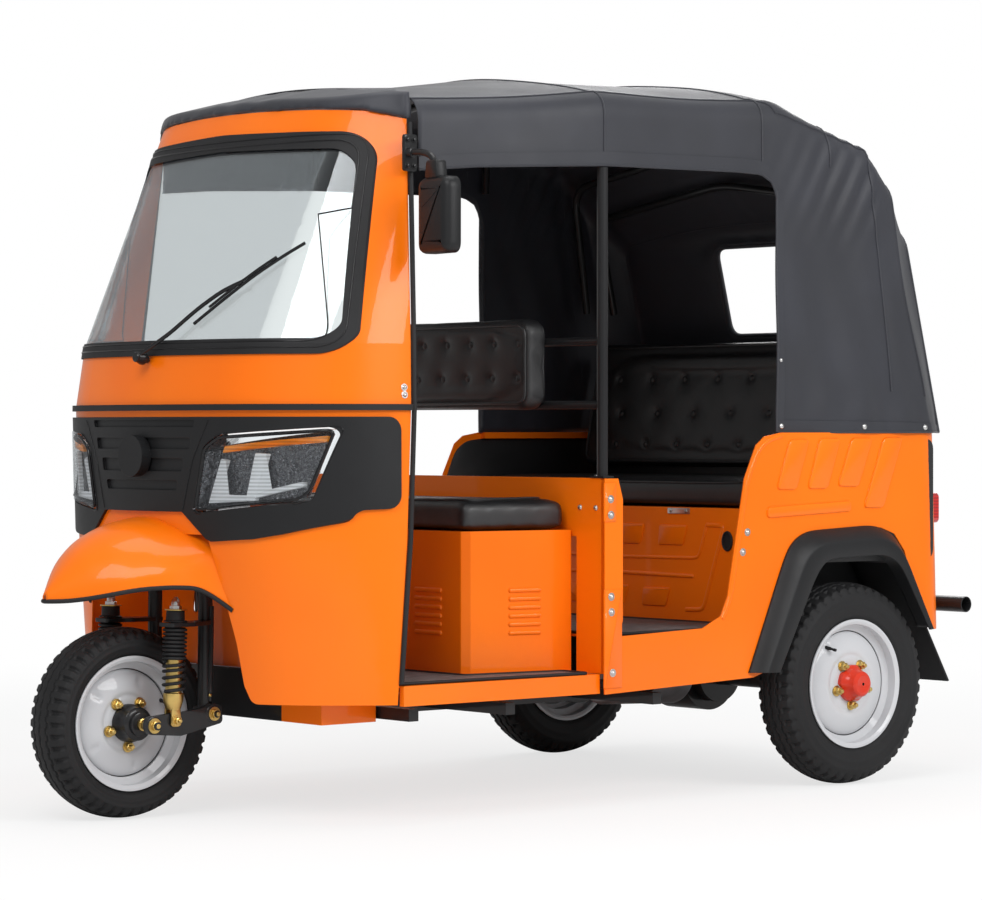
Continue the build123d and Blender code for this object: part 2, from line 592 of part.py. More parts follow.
def tub_plan(z, inset, tail=0):
    """Plan of the rear body: straight sides, rounded rear corners, carried forward by tail."""
    rear_x = TUB_REAR_X - (TUB_TOP_Z - z) * 0.035
    with BuildSketch(Plane.XY.offset(z)) as plan:
        with BuildLine():
            half = SIDE_Y - inset
            FilletPolyline((TUB_FRONT_X + tail, -half), (rear_x + inset, -half), (rear_x + inset, half),
                           (TUB_FRONT_X + tail, half), radius=TUB_CORNER - inset)
            Line((TUB_FRONT_X + tail, half), (TUB_FRONT_X + tail, -half))
        make_face()
    return plan.sketch.faces()[0]


def tub_shell(low_z, high_z, outset, inset):
    """Skin of the rear body between two heights."""
    with BuildPart() as shell:
        loft([tub_plan(z, -outset) for z in (low_z, high_z)], ruled=True)
        loft([tub_plan(z, inset, tail=80) for z in (low_z, high_z)], ruled=True, mode=Mode.SUBTRACT)
    return shell.part


TUB_FLANGE = 22
with BuildPart() as rear_body:
    add(tub_shell(TUB_TOP_Z - 18, TUB_TOP_Z, 0, TUB_FLANGE))
    with Locations((200 - 530, 0, TUB_TOP_Z)):
        Box(400, 1300, 100, align=(Align.CENTER, Align.CENTER, Align.CENTER), mode=Mode.SUBTRACT)
    with Locations((0, 0, TUB_TOP_Z)):
        Box(300, 1300, 100, mode=Mode.SUBTRACT)
    add(tub_shell(250, TUB_TOP_Z, 0, SKIN).intersect(side_prism(TUB_SIDE, -700, 700)))
pieces["rear_body"] = rear_body.part

with BuildPart() as partition:
    with BuildSketch(Plane(origin=(PARTITION_X, 0, 0), x_dir=(0, 1, 0), z_dir=(1, 0, 0))):
        with Locations((0, (CAB_FLOOR_Z + 833) / 2)):
            Rectangle(1204, 833 - CAB_FLOOR_Z)
        with Locations((0, (CAB_FLOOR_Z + 683) / 2)):
            Rectangle(1018, 683 - CAB_FLOOR_Z + 2, mode=Mode.SUBTRACT)
    extrude(amount=20)
pieces["partition"] = partition.part

# ---------------------------------------------------------------- driver's seat
# columns: X, half width; the box widens to the rear
SEAT_FRONT = (430, 455)
SEAT_REAR = (112, 500)
SEAT_TOP_Z = 700
with BuildPart() as seat_box:
    with BuildSketch(Plane.XY.offset(CAB_FLOOR_Z + GAP)):
        with BuildLine():
            FilletPolyline((SEAT_REAR[0], -SEAT_REAR[1]), (SEAT_FRONT[0] - 18, -SEAT_FRONT[1]),
                           (SEAT_FRONT[0], -SEAT_FRONT[1] + 18), (SEAT_FRONT[0], SEAT_FRONT[1] - 18),
                           (SEAT_FRONT[0] - 18, SEAT_FRONT[1]), SEAT_REAR, radius=4, close=True)
        make_face()
        offset(amount=-3, kind=Kind.INTERSECTION, mode=Mode.SUBTRACT)
    extrude(amount=SEAT_TOP_Z - CAB_FLOOR_Z - 3)
    with BuildSketch(Plane.XY.offset(SEAT_TOP_Z - 3 + GAP)):
        with BuildLine():
            FilletPolyline((SEAT_REAR[0], -SEAT_REAR[1]), (SEAT_FRONT[0] - 18, -SEAT_FRONT[1]),
                           (SEAT_FRONT[0], -SEAT_FRONT[1] + 18), (SEAT_FRONT[0], SEAT_FRONT[1] - 18),
                           (SEAT_FRONT[0] - 18, SEAT_FRONT[1]), SEAT_REAR, radius=4, close=True)
        make_face()
    extrude(amount=3)
pieces["seat_box"] = seat_box.part


def cushion_block(plane, points, corner, thickness, edge):
    """Soft closed block: a rounded outline raised from a plane, with rounded upper edges."""
    with BuildPart() as block:
        with BuildSketch(plane):
            with BuildLine():
                FilletPolyline(*points, radius=corner, close=True)
            make_face()
        extrude(amount=thickness)
        fillet(block.faces().sort_by(Axis(plane.origin, plane.z_dir))[-1].edges(), edge)
    return block.part


pieces["seat_cushion"] = cushion_block(
    Plane.XY.offset(SEAT_TOP_Z + 1),
    [(112, -504), (438, -460), (438, 460), (112, 504)], 24, 78, 20,
)
pieces["seat_backrest"] = cushion_block(
    Plane(origin=(106, 0, 1000), x_dir=(0, 1, 0), z_dir=(1, 0, 0)),
    [(-398, 0), (398, 0), (398, 248), (-398, 248)], 46, 70, 20,
)

POST_Y = 590
POST_R = 14
UPRIGHT_Y = -250
with BuildPart() as seat_frame:
    add(round_bar(Vector(PARTITION_X + 4, POST_Y, 834), Vector(PARTITION_X + 4, POST_Y, 1620), POST_R))
    add(round_bar(Vector(PARTITION_X + 4, UPRIGHT_Y, 834), Vector(PARTITION_X + 4, UPRIGHT_Y, 1190), 11))
    for z in (1019, 1181):
        add(round_bar(Vector(PARTITION_X + 4, UPRIGHT_Y, z), Vector(PARTITION_X + 4, POST_Y, z), 11))
    for y in (UPRIGHT_Y, POST_Y):
        with Locations((PARTITION_X + 6, y, 836)):
            Box(36, 50, 5)
pieces["seat_frame"] = seat_frame.part

# ---------------------------------------------------------------- passenger bench
BENCH_HALF = 584
with BuildPart() as bench_base:
    with BuildSketch(Plane(origin=(0, BENCH_HALF, 0), x_dir=(1, 0, 0), z_dir=(0, -1, 0))):
        with BuildLine():
            Polyline((BENCH_X, REAR_FLOOR_Z), (BENCH_X, 745), (-1060, 745), (-1060, 741), (BENCH_X - 4, 741),
                     (BENCH_X - 4, REAR_FLOOR_Z), close=True)
        make_face()
    extrude(amount=2 * BENCH_HALF)
pieces["bench_base"] = bench_base.part

pieces["bench_cushion"] = cushion_block(
    Plane.XY.offset(747),
    [(-985, -560), (-470, -560), (-470, 560), (-985, 560)], 30, 80, 22,
)
BACK_TILT = 12
back_x = Vector(0, 1, 0)
back_up = Vector(-sin(radians(BACK_TILT)), 0, cos(radians(BACK_TILT)))
pieces["bench_backrest"] = cushion_block(
    Plane(origin=(-915, 0, 832), x_dir=back_x, z_dir=back_x.cross(back_up)),
    [(-560, 0), (560, 0), (560, 385), (-560, 385)], 36, 70, 20,
)

# ---------------------------------------------------------------- canvas hood
# columns: X at the top, X at the bottom, crown height, shoulder drop, half width
HOOD_BOTTOM_Z = TUB_TOP_Z + 1
HOOD_ROWS = [
    (HOOD_FRONT_X, HOOD_FRONT_X, 1822, 52, 540),
    (100, 100, 1880, 66, 600),
    (-530, -530, 1904, 72, 606),
    (-835, -960, 1786, 62, 628),
    (-920, -1100, 1690, 56, 626),
    (-1040, -1196, 1552, 44, 566),
]
SHOULDER_R = 60
DOOR_EDGE = [(HOOD_FRONT_X + 60, 1588), (88, 1626), (-460, 1632), (-500, 1612), (-520, 1570), (-520, 900),
             (HOOD_FRONT_X + 60, 900)]


def hood_face(row, inset):
    """Section of the hood in a leaning plane across the vehicle: sides, shoulders and a crowned top."""
    top_x, bottom_x, crown_z, drop, half = row
    rise = Vector(top_x - bottom_x, 0, crown_z - HOOD_BOTTOM_Z)
    up = rise.normalized()
    across = Vector(0, 1, 0)
    with BuildSketch(Plane(origin=(bottom_x, 0, HOOD_BOTTOM_Z), x_dir=across, z_dir=across.cross(up))) as bow:
        side = half - inset
        top = rise.length - inset
        foot = -60 if inset else 0
        shoulder = top - drop
        with BuildLine():
            crown = ThreePointArc((-side + SHOULDER_R, shoulder), (0, top), (side - SHOULDER_R, shoulder))
            low, bulge = shoulder - SHOULDER_R, SHOULDER_R * 0.3
            ThreePointArc(crown @ 1, (side - bulge, shoulder - bulge + 2), (side, low))
            Polyline((side, low), (side, foot), (-side, foot), (-side, low))
            ThreePointArc((-side, low), (-side + bulge, shoulder - bulge + 2), crown @ 0)
        make_face()
    return bow.sketch.faces()[0]


with BuildPart() as canvas_hood:
    loft([hood_face(row, 0) for row in HOOD_ROWS], ruled=True)
    front, *middle, rear = HOOD_ROWS
    inner = [(front[0] + 20, front[1] + 20, *front[2:]), *middle,
             (rear[0] + CANVAS, rear[1] + CANVAS, *rear[2:])]
    loft([hood_face(row, CANVAS) for row in inner], ruled=True, mode=Mode.SUBTRACT)
    add(side_prism(DOOR_EDGE, -800, 800), mode=Mode.SUBTRACT)
    with BuildSketch(Plane(origin=(-900, 0, 1358), x_dir=(0, 1, 0), z_dir=(-1, 0, 0))):
        RectangleRounded(352, 256, 40)
    extrude(amount=400, mode=Mode.SUBTRACT)
pieces["canvas_hood"] = canvas_hood.part

# columns: hood row the bow stands under, foot height
BOW_R = 11
with BuildPart() as hood_bows:
    for row in HOOD_ROWS[1:5]:
        top_x, bottom_x, crown_z, drop, half = row
        side = half - CANVAS - BOW_R - 8 - (44 if half > 610 else 0)
        low = 1640 if row in HOOD_ROWS[1:3] else 1300
        lean = (top_x - bottom_x) / (crown_z - HOOD_BOTTOM_Z)
        bottom_x += BOW_R
        low_x = bottom_x + lean * (low - HOOD_BOTTOM_Z)
        high = crown_z - drop - CANVAS - BOW_R - 30
        high_x = bottom_x + lean * (high - HOOD_BOTTOM_Z)
        crown = Vector(top_x + BOW_R, 0, crown_z - CANVAS - BOW_R - 22)
        add(tube_run([Vector(low_x, -side, low), Vector(high_x, -side + 6, high - 14), crown,
                      Vector(high_x, side - 6, high - 14), Vector(low_x, side, low)], BOW_R, [70, 400, 70]))
pieces["hood_bows"] = hood_bows.part

# ---------------------------------------------------------------- wheel arches
# columns: X, Z
FLARE_OUTER = [(-400, 318), (-515, 577), (-553, 656), (-610, 686), (-876, 698), (-948, 674), (-987, 627),
               (-1100, 405)]
FLARE_INNER = [(-486, 317), (-621, 566), (-659, 611), (-896, 618), (-948, 592), (-1060, 414)]
FLARE_REACH = 35
with BuildPart() as fender_flares:
    for side in (1, -1):
        start = side * (SIDE_Y + GAP)
        with BuildSketch(Plane(origin=(0, start, 0), x_dir=(1, 0, 0), z_dir=(0, side, 0))):
            with BuildLine():
                Polyline(*[(x, -side * z) for x, z in FLARE_OUTER + FLARE_INNER[::-1]], close=True)
            make_face()
        extrude(amount=FLARE_REACH)
pieces["fender_flares"] = fender_flares.part

LINER = [(-486, 317), (-621, 566), (-659, 611), (-896, 618), (-948, 592), (-1060, 414)]
with BuildPart() as arch_liners:
    for side in (1, -1):
        with BuildSketch(Plane(origin=(0, side * 616, 0), x_dir=(1, 0, 0), z_dir=(0, side, 0))):
            with BuildLine():
                grown = [(-482, 317), (-618, 570), (-657, 616), (-898, 623), (-951, 596), (-1064, 414)]
                Polyline(*[(x, -side * z) for x, z in LINER + grown[::-1]], close=True)
            make_face()
        extrude(amount=-130)
pieces["arch_liners"] = arch_liners.part

# mudflap outline, columns X and Z: a strip hanging from the arch and leaning to the rear
MUDFLAP_OUTLINE = [(-1091, 422), (-1096, 422), (-1193, 260), (-1187, 258)]
MUDFLAP_Y = (502, 610)
with BuildPart() as mudflaps:
    for side in (1, -1):
        add(side_prism(MUDFLAP_OUTLINE, side * MUDFLAP_Y[0], side * MUDFLAP_Y[1]))
pieces["mudflaps"] = mudflaps.part

# ---------------------------------------------------------------- rear running gear
AXLE = Vector(REAR_AXLE_X, 0, REAR_TYRE_R)
with BuildPart() as rear_axle:
    add(round_bar(AXLE + Vector(0, -500, 0), AXLE + Vector(0, 500, 0), 32))
    with Locations(Location(AXLE, (90, 0, 0))):
        Cylinder(105, 150)
        Cylinder(80, 230)
    for side in (1, -1):
        with Locations(Location(AXLE + Vector(0, side * 500, 0), (90, 0, 0))):
            Cylinder(118, 60)
        add(round_bar(AXLE + Vector(0, side * 528, 0), AXLE + Vector(0, side * 568, 0), 15))
pieces["rear_axle"] = rear_axle.part

with BuildPart() as drive_motor:
    add(round_bar(AXLE + Vector(110, 40, 10), AXLE + Vector(390, 40, 20), 92))
    fillet(drive_motor.edges().filter_by(GeomType.CIRCLE), 12)
pieces["drive_motor"] = drive_motor.part

SPRING_Y = 330
SPRING_LEAVES = [(470, 0), (360, -9), (240, -18)]  # columns: half length, drop below the main leaf
with BuildPart() as leaf_springs:
    for side in (1, -1):
        for half, drop in SPRING_LEAVES:
            sag = 60 * (half / 470) ** 2
            with BuildSketch(Plane(origin=(0, side * SPRING_Y + 30, 0), x_dir=(1, 0, 0), z_dir=(0, -1, 0))):
                with BuildLine():
                    base = AXLE.Z + 53 + drop
                    tip = base + sag
                    ThreePointArc((AXLE.X - half, tip), (AXLE.X, base), (AXLE.X + half, tip))
                    Line((AXLE.X + half, tip), (AXLE.X + half, tip + 9))
                    ThreePointArc((AXLE.X + half, tip + 9), (AXLE.X, base + 9), (AXLE.X - half, tip + 9))
                    Line((AXLE.X - half, tip + 9), (AXLE.X - half, tip))
                make_face()
            extrude(amount=60)
        for end in (-474, 474):
            with Locations(Location((AXLE.X + end, side * SPRING_Y, AXLE.Z + 107), (90, 0, 0))):
                Cylinder(18, 66)
            low = Vector(AXLE.X + end, side * (SPRING_Y - 34), AXLE.Z + 107)
            add(round_bar(low, Vector(AXLE.X + end, side * (RAIL_Y + 10), 345 if end < 0 else 330), 14))
pieces["leaf_springs"] = leaf_springs.part

with BuildPart() as battery_pack:
    with Locations((-760, 0, 570)):
        Box(330, 620, 260)
    fillet(battery_pack.edges().filter_by(Axis.Z), 12)
pieces["battery_pack"] = battery_pack.part

BUMPER_X = -1274
BUMPER_Z = 468
BUMPER_HALF = 600
BUMPER_BORE = 60
with BuildPart() as rear_bumper:
    add(round_bar(Vector(BUMPER_X, -BUMPER_HALF, BUMPER_Z), Vector(BUMPER_X, BUMPER_HALF, BUMPER_Z), 22))
    for side in (1, -1):
        end = Vector(BUMPER_X, side * BUMPER_HALF, BUMPER_Z)
        add(round_bar(end, end - Vector(0, side * BUMPER_BORE, 0), 19), mode=Mode.SUBTRACT)
        add(tube_run([Vector(BUMPER_X, side * RAIL_Y, BUMPER_Z), Vector(-1215, side * RAIL_Y, 330),
                      Vector(RAIL_END_X - 2, side * RAIL_Y, 330)], 16, 30))
pieces["rear_bumper"] = rear_bumper.part

with BuildPart() as tail_lamps:
    for side in (1, -1):
        with Locations((TUB_REAR_X - 24, side * 500, 738)):
            Box(30, 110, 84)
    fillet(tail_lamps.edges().filter_by(Axis.X), 14)
pieces["tail_lamps"] = tail_lamps.part

# ---------------------------------------------------------------- cab fittings
DASH_PROFILE = [(990, 1036), (990, 1098), (1008, 1124), (1110, 1124), (1110, 970), (1040, 970)]
DASH_HALF = 480
with BuildPart() as dashboard:
    add(side_prism(DASH_PROFILE, -DASH_HALF, DASH_HALF))
    add(cab_inside(-14), mode=Mode.INTERSECT)
pieces["dashboard"] = dashboard.part

# columns: X, Y, Z of the cab shell's rear edge, left side
DOOR_RAIL = [(762, 600, CAB_FLOOR_Z + 6), (729, 594, 690), (DOOR_FRONT_X, 590, BELT_Z),
             (704, 576, SCREEN_BASE_Z), (671, 520, 1706)]
with BuildPart() as door_welts:
    for side in (1, -1):
        corners = [Vector(x - 7.5, side * (y + 3), z) for x, y, z in DOOR_RAIL]
        for low, high in zip(corners, corners[1:]):
            add(round_bar(low, high, 6.2))
        for joint in corners[1:-1]:
            with Locations(joint):
                Sphere(6.2)
pieces["door_welts"] = door_welts.part

WIPER_PIVOT = Vector(1106, 14, 1129)
with BuildPart() as wiper:
    add(round_bar(WIPER_PIVOT - Vector(20, 0, 0), WIPER_PIVOT, 9))
pieces["wiper"] = wiper.part

MIRROR = Vector(702, 678, 1471)
with BuildPart() as mirror_left:
    with Locations(Location(MIRROR, (0, 0, -8))):
        Box(44, 140, 184)
    fillet(mirror_left.edges(), 12)
    with Locations(Location(MIRROR + Vector(0, 0, 110), (0, 0, -8))):
        Box(30, 64, 44)
    add(tube_run([Vector(690, 545, 1629), Vector(698, 640, 1650), Vector(702, 678, 1640),
                  Vector(702, 678, 1590)], 9, 14))
    with Locations((684, 547.6, 1629)):
        Box(40, 10, 90)
    with Locations((697, 536, 1604), (697, 536, 1654)):
        Box(12, 14, 12)
pieces["mirror_left"] = mirror_left.part

for name, piece in pieces.items():
    piece.label = name
    export_step(piece, f"parts/{name}.step")
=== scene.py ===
# %% [markdown]
# # Auto rickshaw: the looks around a finished frame
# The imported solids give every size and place. This file dresses them: it paints the panels, and it builds the
# soft, small and finely shaped pieces in mesh code. Lengths are metres, X is forward, Y is the driver's left
# and Z is up, with the ground at zero.

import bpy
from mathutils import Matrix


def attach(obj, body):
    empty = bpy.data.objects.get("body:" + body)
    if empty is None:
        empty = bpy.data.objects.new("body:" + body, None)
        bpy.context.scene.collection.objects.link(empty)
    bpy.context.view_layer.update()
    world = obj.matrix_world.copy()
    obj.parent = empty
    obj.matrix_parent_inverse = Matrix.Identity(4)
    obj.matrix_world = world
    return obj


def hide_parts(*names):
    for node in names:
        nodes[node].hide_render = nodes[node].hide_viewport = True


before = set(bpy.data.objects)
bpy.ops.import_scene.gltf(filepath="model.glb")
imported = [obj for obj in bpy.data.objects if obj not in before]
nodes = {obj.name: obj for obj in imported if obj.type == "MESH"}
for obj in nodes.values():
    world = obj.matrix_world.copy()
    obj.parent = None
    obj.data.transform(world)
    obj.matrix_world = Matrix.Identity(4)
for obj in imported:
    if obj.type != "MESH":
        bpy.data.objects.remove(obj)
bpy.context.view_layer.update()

import math

import bmesh
import bpy
import numpy as np
from mathutils import Vector
from mathutils.bvhtree import BVHTree

# %% [markdown]
# ## Camera
# A long lens from the front left, almost level, keeps the cab front and the open side in one view without
# bending straight lines. The camera comes first because everything after it can then be looked at.

# %% Camera
CAMERA_PLACE = Vector((5.96747, 7.04673, 0.95646))
CAMERA_AIM = Vector((-0.6489, -0.7608, -0.0060))
CAMERA_LENS_MM = 126.18

camera_data = bpy.data.cameras.new("camera")
camera_data.lens = CAMERA_LENS_MM
camera_data.sensor_width = 36.0
camera_data.clip_end = 200.0
camera = bpy.data.objects.new("camera", camera_data)
camera.location = CAMERA_PLACE
camera.rotation_mode = "QUATERNION"
camera.rotation_quaternion = CAMERA_AIM.to_track_quat("-Z", "Y")
scene = bpy.context.scene
scene.collection.objects.link(camera)
scene.camera = camera
scene.view_settings.view_transform = "Standard"
print("camera:", CAMERA_LENS_MM, "mm at", tuple(round(v, 2) for v in CAMERA_PLACE))

# %% [markdown]
# ## Shader maths as plain Python
# A finish is mostly arithmetic on textures: grain times strength, one minus a mask. Wiring Math nodes by hand
# hides that, so `Wire` wraps a socket and turns + and * into nodes. One method, `Finish.add`, makes every
# other kind of node: its settings go in first and its sockets after, since some settings change which sockets
# exist.

# %% Wire and Finish
class Wire:
    """One output socket; arithmetic on it adds Math nodes."""

    def __init__(self, finish, socket):
        self.finish = finish
        self.socket = socket

    def math(self, operation, *others):
        return self.finish.add("Math", {"operation": operation}, dict(enumerate((self,) + others)))

    def __add__(self, other):
        return self.math("ADD", other)

    def __mul__(self, other):
        return self.math("MULTIPLY", other)

    __radd__ = __add__
    __rmul__ = __mul__

    def over(self, edge):
        """1 where the value is above edge, else 0."""
        return self.math("GREATER_THAN", edge)

    def between(self, low, high):
        """0 below low, 1 above high, smooth in the middle."""
        settings = {"interpolation_type": "SMOOTHSTEP"}
        return self.finish.add("MapRange", settings, {"Value": self, "From Min": low, "From Max": high})


class Finish:
    """A material under construction."""

    def __init__(self, name):
        self.material = bpy.data.materials.new(name)
        self.material.use_nodes = True
        self.tree = self.material.node_tree
        self.tree.nodes.clear()
        self.place = self.add("TexCoord", out="Object")

    def add(self, kind, settings=None, sockets=None, out=0):
        node = self.tree.nodes.new("ShaderNode" + kind)
        for name, value in (settings or {}).items():
            setattr(node, name, value)
        for name, value in (sockets or {}).items():
            if isinstance(value, Wire):
                self.tree.links.new(value.socket, node.inputs[name])
            elif isinstance(value, tuple) and node.inputs[name].type == "RGBA":
                node.inputs[name].default_value = (*value, 1.0)
            else:
                node.inputs[name].default_value = value
        if not node.outputs:
            return node
        return Wire(self, node.outputs[out])

    def noise(self, scale, detail=3.0, rough=0.5, where=None):
        sockets = {"Vector": where or self.place, "Scale": scale, "Detail": detail, "Roughness": rough}
        return self.add("TexNoise", {}, sockets)

    def cells(self, scale, feature="F1", where=None):
        return self.add("TexVoronoi", {"feature": feature}, {"Vector": where or self.place, "Scale": scale})

    def stretch(self, x, y, z):
        """The place, scaled by axis, for grain that runs one way."""
        return self.add("VectorMath", {"operation": "MULTIPLY"}, {0: self.place, 1: (x, y, z)})

    def axis(self, letter, where=None):
        return self.add("SeparateXYZ", {}, {0: where or self.place}, out=letter)

    def blend(self, share, first, second):
        """A colour that goes from first to second as share goes from 0 to 1."""
        sockets = {"Factor": share, 6: first, 7: second}
        return self.add("Mix", {"data_type": "RGBA"}, sockets, out=2)

    def bump(self, height, strength, distance, below=None):
        sockets = {"Height": height, "Strength": strength, "Distance": distance}
        if below is not None:
            sockets["Normal"] = below
        return self.add("Bump", {}, sockets)

    def edges(self, radius):
        """A normal that rounds sharp edges a little, as paint and pressing do."""
        return self.add("Bevel", {"samples": 4}, {"Radius": radius})

    def done(self, **sockets):
        """Principled shader from socket names with _ for spaces, then the output."""
        values = {name.replace("_", " "): value for name, value in sockets.items()}
        shader = self.add("BsdfPrincipled", {}, values)
        self.add("OutputMaterial", {}, {"Surface": shader})
        return self.material


# %% [markdown]
# ## Painted metal
# The panels are pressed steel under a thick gloss enamel. Real enamel is never a mirror: it has a faint
# orange peel, and its colour shifts a little over a panel. A clear coat over a slightly uneven base gives
# both, and a Bevel node rounds the panel edges, which sharp solids don't have.

# %% Enamel finishes
INNER_HALF = 0.29  # half width of the stretch round the centre plane that takes the inner colour


def enamel(name, colour, shade, rough, coat, peel=0.04, edge=0.0025, inner=None):
    """Gloss paint; inner is a second colour within INNER_HALF of the centre plane."""
    finish = Finish(name)
    drift = finish.noise(2.2, 2.0).between(0.35, 0.7)
    fine = finish.noise(310.0, 2.0)
    broad = finish.noise(34.0, 2.0)
    paint = finish.blend(drift, colour, shade)
    if inner:
        paint = finish.blend(finish.axis("Y").math("ABSOLUTE").over(INNER_HALF), inner, paint)
    return finish.done(
        Base_Color=paint,
        Roughness=rough + fine * 0.05,
        Coat_Weight=coat,
        Coat_Roughness=0.04,
        Specular_IOR_Level=0.15,
        Normal=finish.bump(fine * 0.3 + broad, peel, 0.002, below=finish.edges(edge)),
    )


orange = enamel("orange_enamel", (0.93, 0.178, 0.002), (0.90, 0.158, 0.0015), 0.32, 0.30)
pan_paint = enamel("pan_paint", (0.93, 0.178, 0.002), (0.90, 0.158, 0.0015), 0.32, 0.30,
                   inner=(0.014, 0.014, 0.015))
black_paint = enamel("black_frame_paint", (0.012, 0.012, 0.013), (0.018, 0.018, 0.019), 0.34, 0.3,
                     edge=0.0015)
silver = enamel("silver_wheel_paint", (0.55, 0.56, 0.58), (0.50, 0.51, 0.53), 0.30, 0.4, edge=0.0012)
red_paint = enamel("red_hub_paint", (0.62, 0.035, 0.012), (0.5, 0.02, 0.008), 0.32, 0.5, edge=0.001)
print("enamels:", [m.name for m in (orange, black_paint, silver, red_paint)])


# %% [markdown]
# ## Moulded plastic and rubber
# The grille mask, flares and mirror are moulded with a fine leather-like grain that scatters light. Voronoi
# cells a millimetre across give that grain. Rubber is the same idea with softer, finer noise and a duller
# surface.

# %% Plastic and rubber finishes
def moulded(name, colour, rough, grain, strength, edge=0.002):
    finish = Finish(name)
    pores = finish.cells(grain)
    cloud = finish.noise(5.0, 3.0).between(0.3, 0.75)
    return finish.done(
        Base_Color=finish.blend(cloud, colour, tuple(c * 1.35 for c in colour)),
        Roughness=rough + finish.noise(60.0) * 0.1,
        Specular_IOR_Level=0.30,
        Normal=finish.bump(pores, strength, 0.0006, below=finish.edges(edge)),
    )


black_plastic = moulded("moulded_black", (0.0080, 0.0083, 0.0092), 0.40, 900.0, 0.18)
gloss_black = moulded("gloss_black_plastic", (0.008, 0.008, 0.009), 0.16, 1500.0, 0.03)
rubber = moulded("black_rubber", (0.011, 0.011, 0.012), 0.55, 1600.0, 0.12, edge=0.0012)
tyre_rubber = moulded("tyre_rubber", (0.0095, 0.0095, 0.0102), 0.62, 700.0, 0.15, edge=0.0006)
print("plastics:", [m.name for m in (black_plastic, gloss_black, rubber, tyre_rubber)])


# %% [markdown]
# ## Bare and plated metal
# Body bolts are bright zinc, the shock bodies and the wheel nuts are yellow passivated zinc, and castings are
# left bare. All are metal, so colour lives in the reflection, and turning marks come from stretched noise.

# %% Metal finishes
def metal(name, colour, rough, marks=(40.0, 900.0, 40.0), wear=0.08):
    finish = Finish(name)
    lines = finish.noise(1.0, 4.0, where=finish.stretch(*marks))
    blotch = finish.noise(22.0, 4.0).between(0.3, 0.8)
    return finish.done(
        Base_Color=finish.blend(blotch, colour, tuple(c * 0.72 for c in colour)),
        Metallic=1.0,
        Roughness=rough + lines * wear,
        Normal=finish.bump(lines, 0.06, 0.0004, below=finish.edges(0.0008)),
    )


zinc = metal("bright_zinc", (0.62, 0.62, 0.61), 0.26)
brass = metal("yellow_zinc", (0.66, 0.47, 0.16), 0.28)
casting = metal("cast_aluminium", (0.30, 0.30, 0.31), 0.48, marks=(60.0, 60.0, 60.0))
print("metals:", [m.name for m in (zinc, brass, casting)])


# %% [markdown]
# ## Glass and lamps
# Windscreen glass is thin, so light hardly bends in it: a see-through shader mixed with a clear gloss by the
# viewing angle is right for it, and it lets the light through where refraction would leave a dark cab.

# %% Glass finishes
def thin_glass(name, tint, strength):
    finish = Finish(name)
    facing = finish.add("LayerWeight", {}, {"Blend": 0.42}, out="Fresnel")
    clear = finish.add("BsdfTransparent", {}, {"Color": tint})
    gloss = finish.add("BsdfGlossy", {}, {"Color": (0.95, 0.97, 1.0), "Roughness": 0.02})
    share = facing * strength
    shader = finish.add("MixShader", {}, {0: share, 1: clear, 2: gloss})
    finish.add("OutputMaterial", {}, {"Surface": shader})
    return finish.material


screen_glass = thin_glass("windscreen_glass", (0.90, 0.93, 0.93), 0.55)
lens_glass = thin_glass("clear_lens", (0.93, 0.95, 0.96), 0.6)


# glow is a faint emission on the lens: painted light that makes the lens look brighter.
def lens_colour(name, colour, glow):
    finish = Finish(name)
    ribs = finish.axis("Z") * 700.0
    wave = ribs.math("SINE")
    return finish.done(
        Base_Color=finish.blend(wave.between(-1.0, 1.0), colour, tuple(c * 0.6 for c in colour)),
        Roughness=0.18 + wave * 0.03,
        Coat_Weight=0.8,
        Coat_Roughness=0.05,
        Emission_Color=colour,
        Emission_Strength=glow,
    )


# The last number is each lens's faint painted glow.
amber = lens_colour("amber_lens", (0.95, 0.30, 0.01), 0.12)
red_lens = lens_colour("red_lens", (0.55, 0.012, 0.01), 0.03)
light_guide = lens_colour("white_light_guide", (0.82, 0.84, 0.86), 0.10)
print("glass:", [m.name for m in (screen_glass, lens_glass, amber, red_lens, light_guide)])


# %% [markdown]
# ## Coated canvas and leatherette
# The hood is canvas under a black vinyl coat: a very fine weave shows through a satin surface, with soft
# broad waves. The seats are leatherette, with a pebbled grain of closed cells and creases between them.

# %% Soft finishes
def coated_canvas(name, colour):
    finish = Finish(name)
    weave = finish.noise(1.0, 2.0, where=finish.stretch(900.0, 900.0, 900.0))
    cross = finish.cells(1400.0)
    dust = finish.noise(3.5, 4.0).between(0.35, 0.8)
    broad = finish.noise(9.0, 3.0)
    height = weave * 0.25 + cross * 0.25
    return finish.done(
        Base_Color=finish.blend(dust, colour, tuple(c * 1.5 for c in colour)),
        Roughness=0.46 + broad * 0.16,
        Specular_IOR_Level=0.5,
        Sheen_Weight=0.12,
        Sheen_Roughness=0.5,
        Normal=finish.bump(height, 0.30, 0.0006, below=finish.bump(broad, 0.10, 0.01)),
    )


def leatherette(name, colour, rough):
    finish = Finish(name)
    pebbles = finish.cells(420.0, feature="DISTANCE_TO_EDGE")
    creases = finish.noise(38.0, 5.0, 0.6)
    wear = finish.noise(7.0, 3.0).between(0.4, 0.8)
    return finish.done(
        Base_Color=finish.blend(wear, colour, tuple(c * 1.4 for c in colour)),
        Roughness=rough + creases * 0.14,
        Specular_IOR_Level=0.5,
        Coat_Weight=0.15,
        Coat_Roughness=0.25,
        Normal=finish.bump(pebbles.between(0.0, 0.25), 0.28, 0.0006, below=finish.bump(creases, 0.12, 0.003)),
    )


canvas = coated_canvas("coated_canvas", (0.0135, 0.0148, 0.0215))
lining = coated_canvas("hood_lining", (0.008, 0.008, 0.009))
leather = leatherette("black_leatherette", (0.0085, 0.0085, 0.0095), 0.36)
print("soft:", [m.name for m in (canvas, lining, leather)])


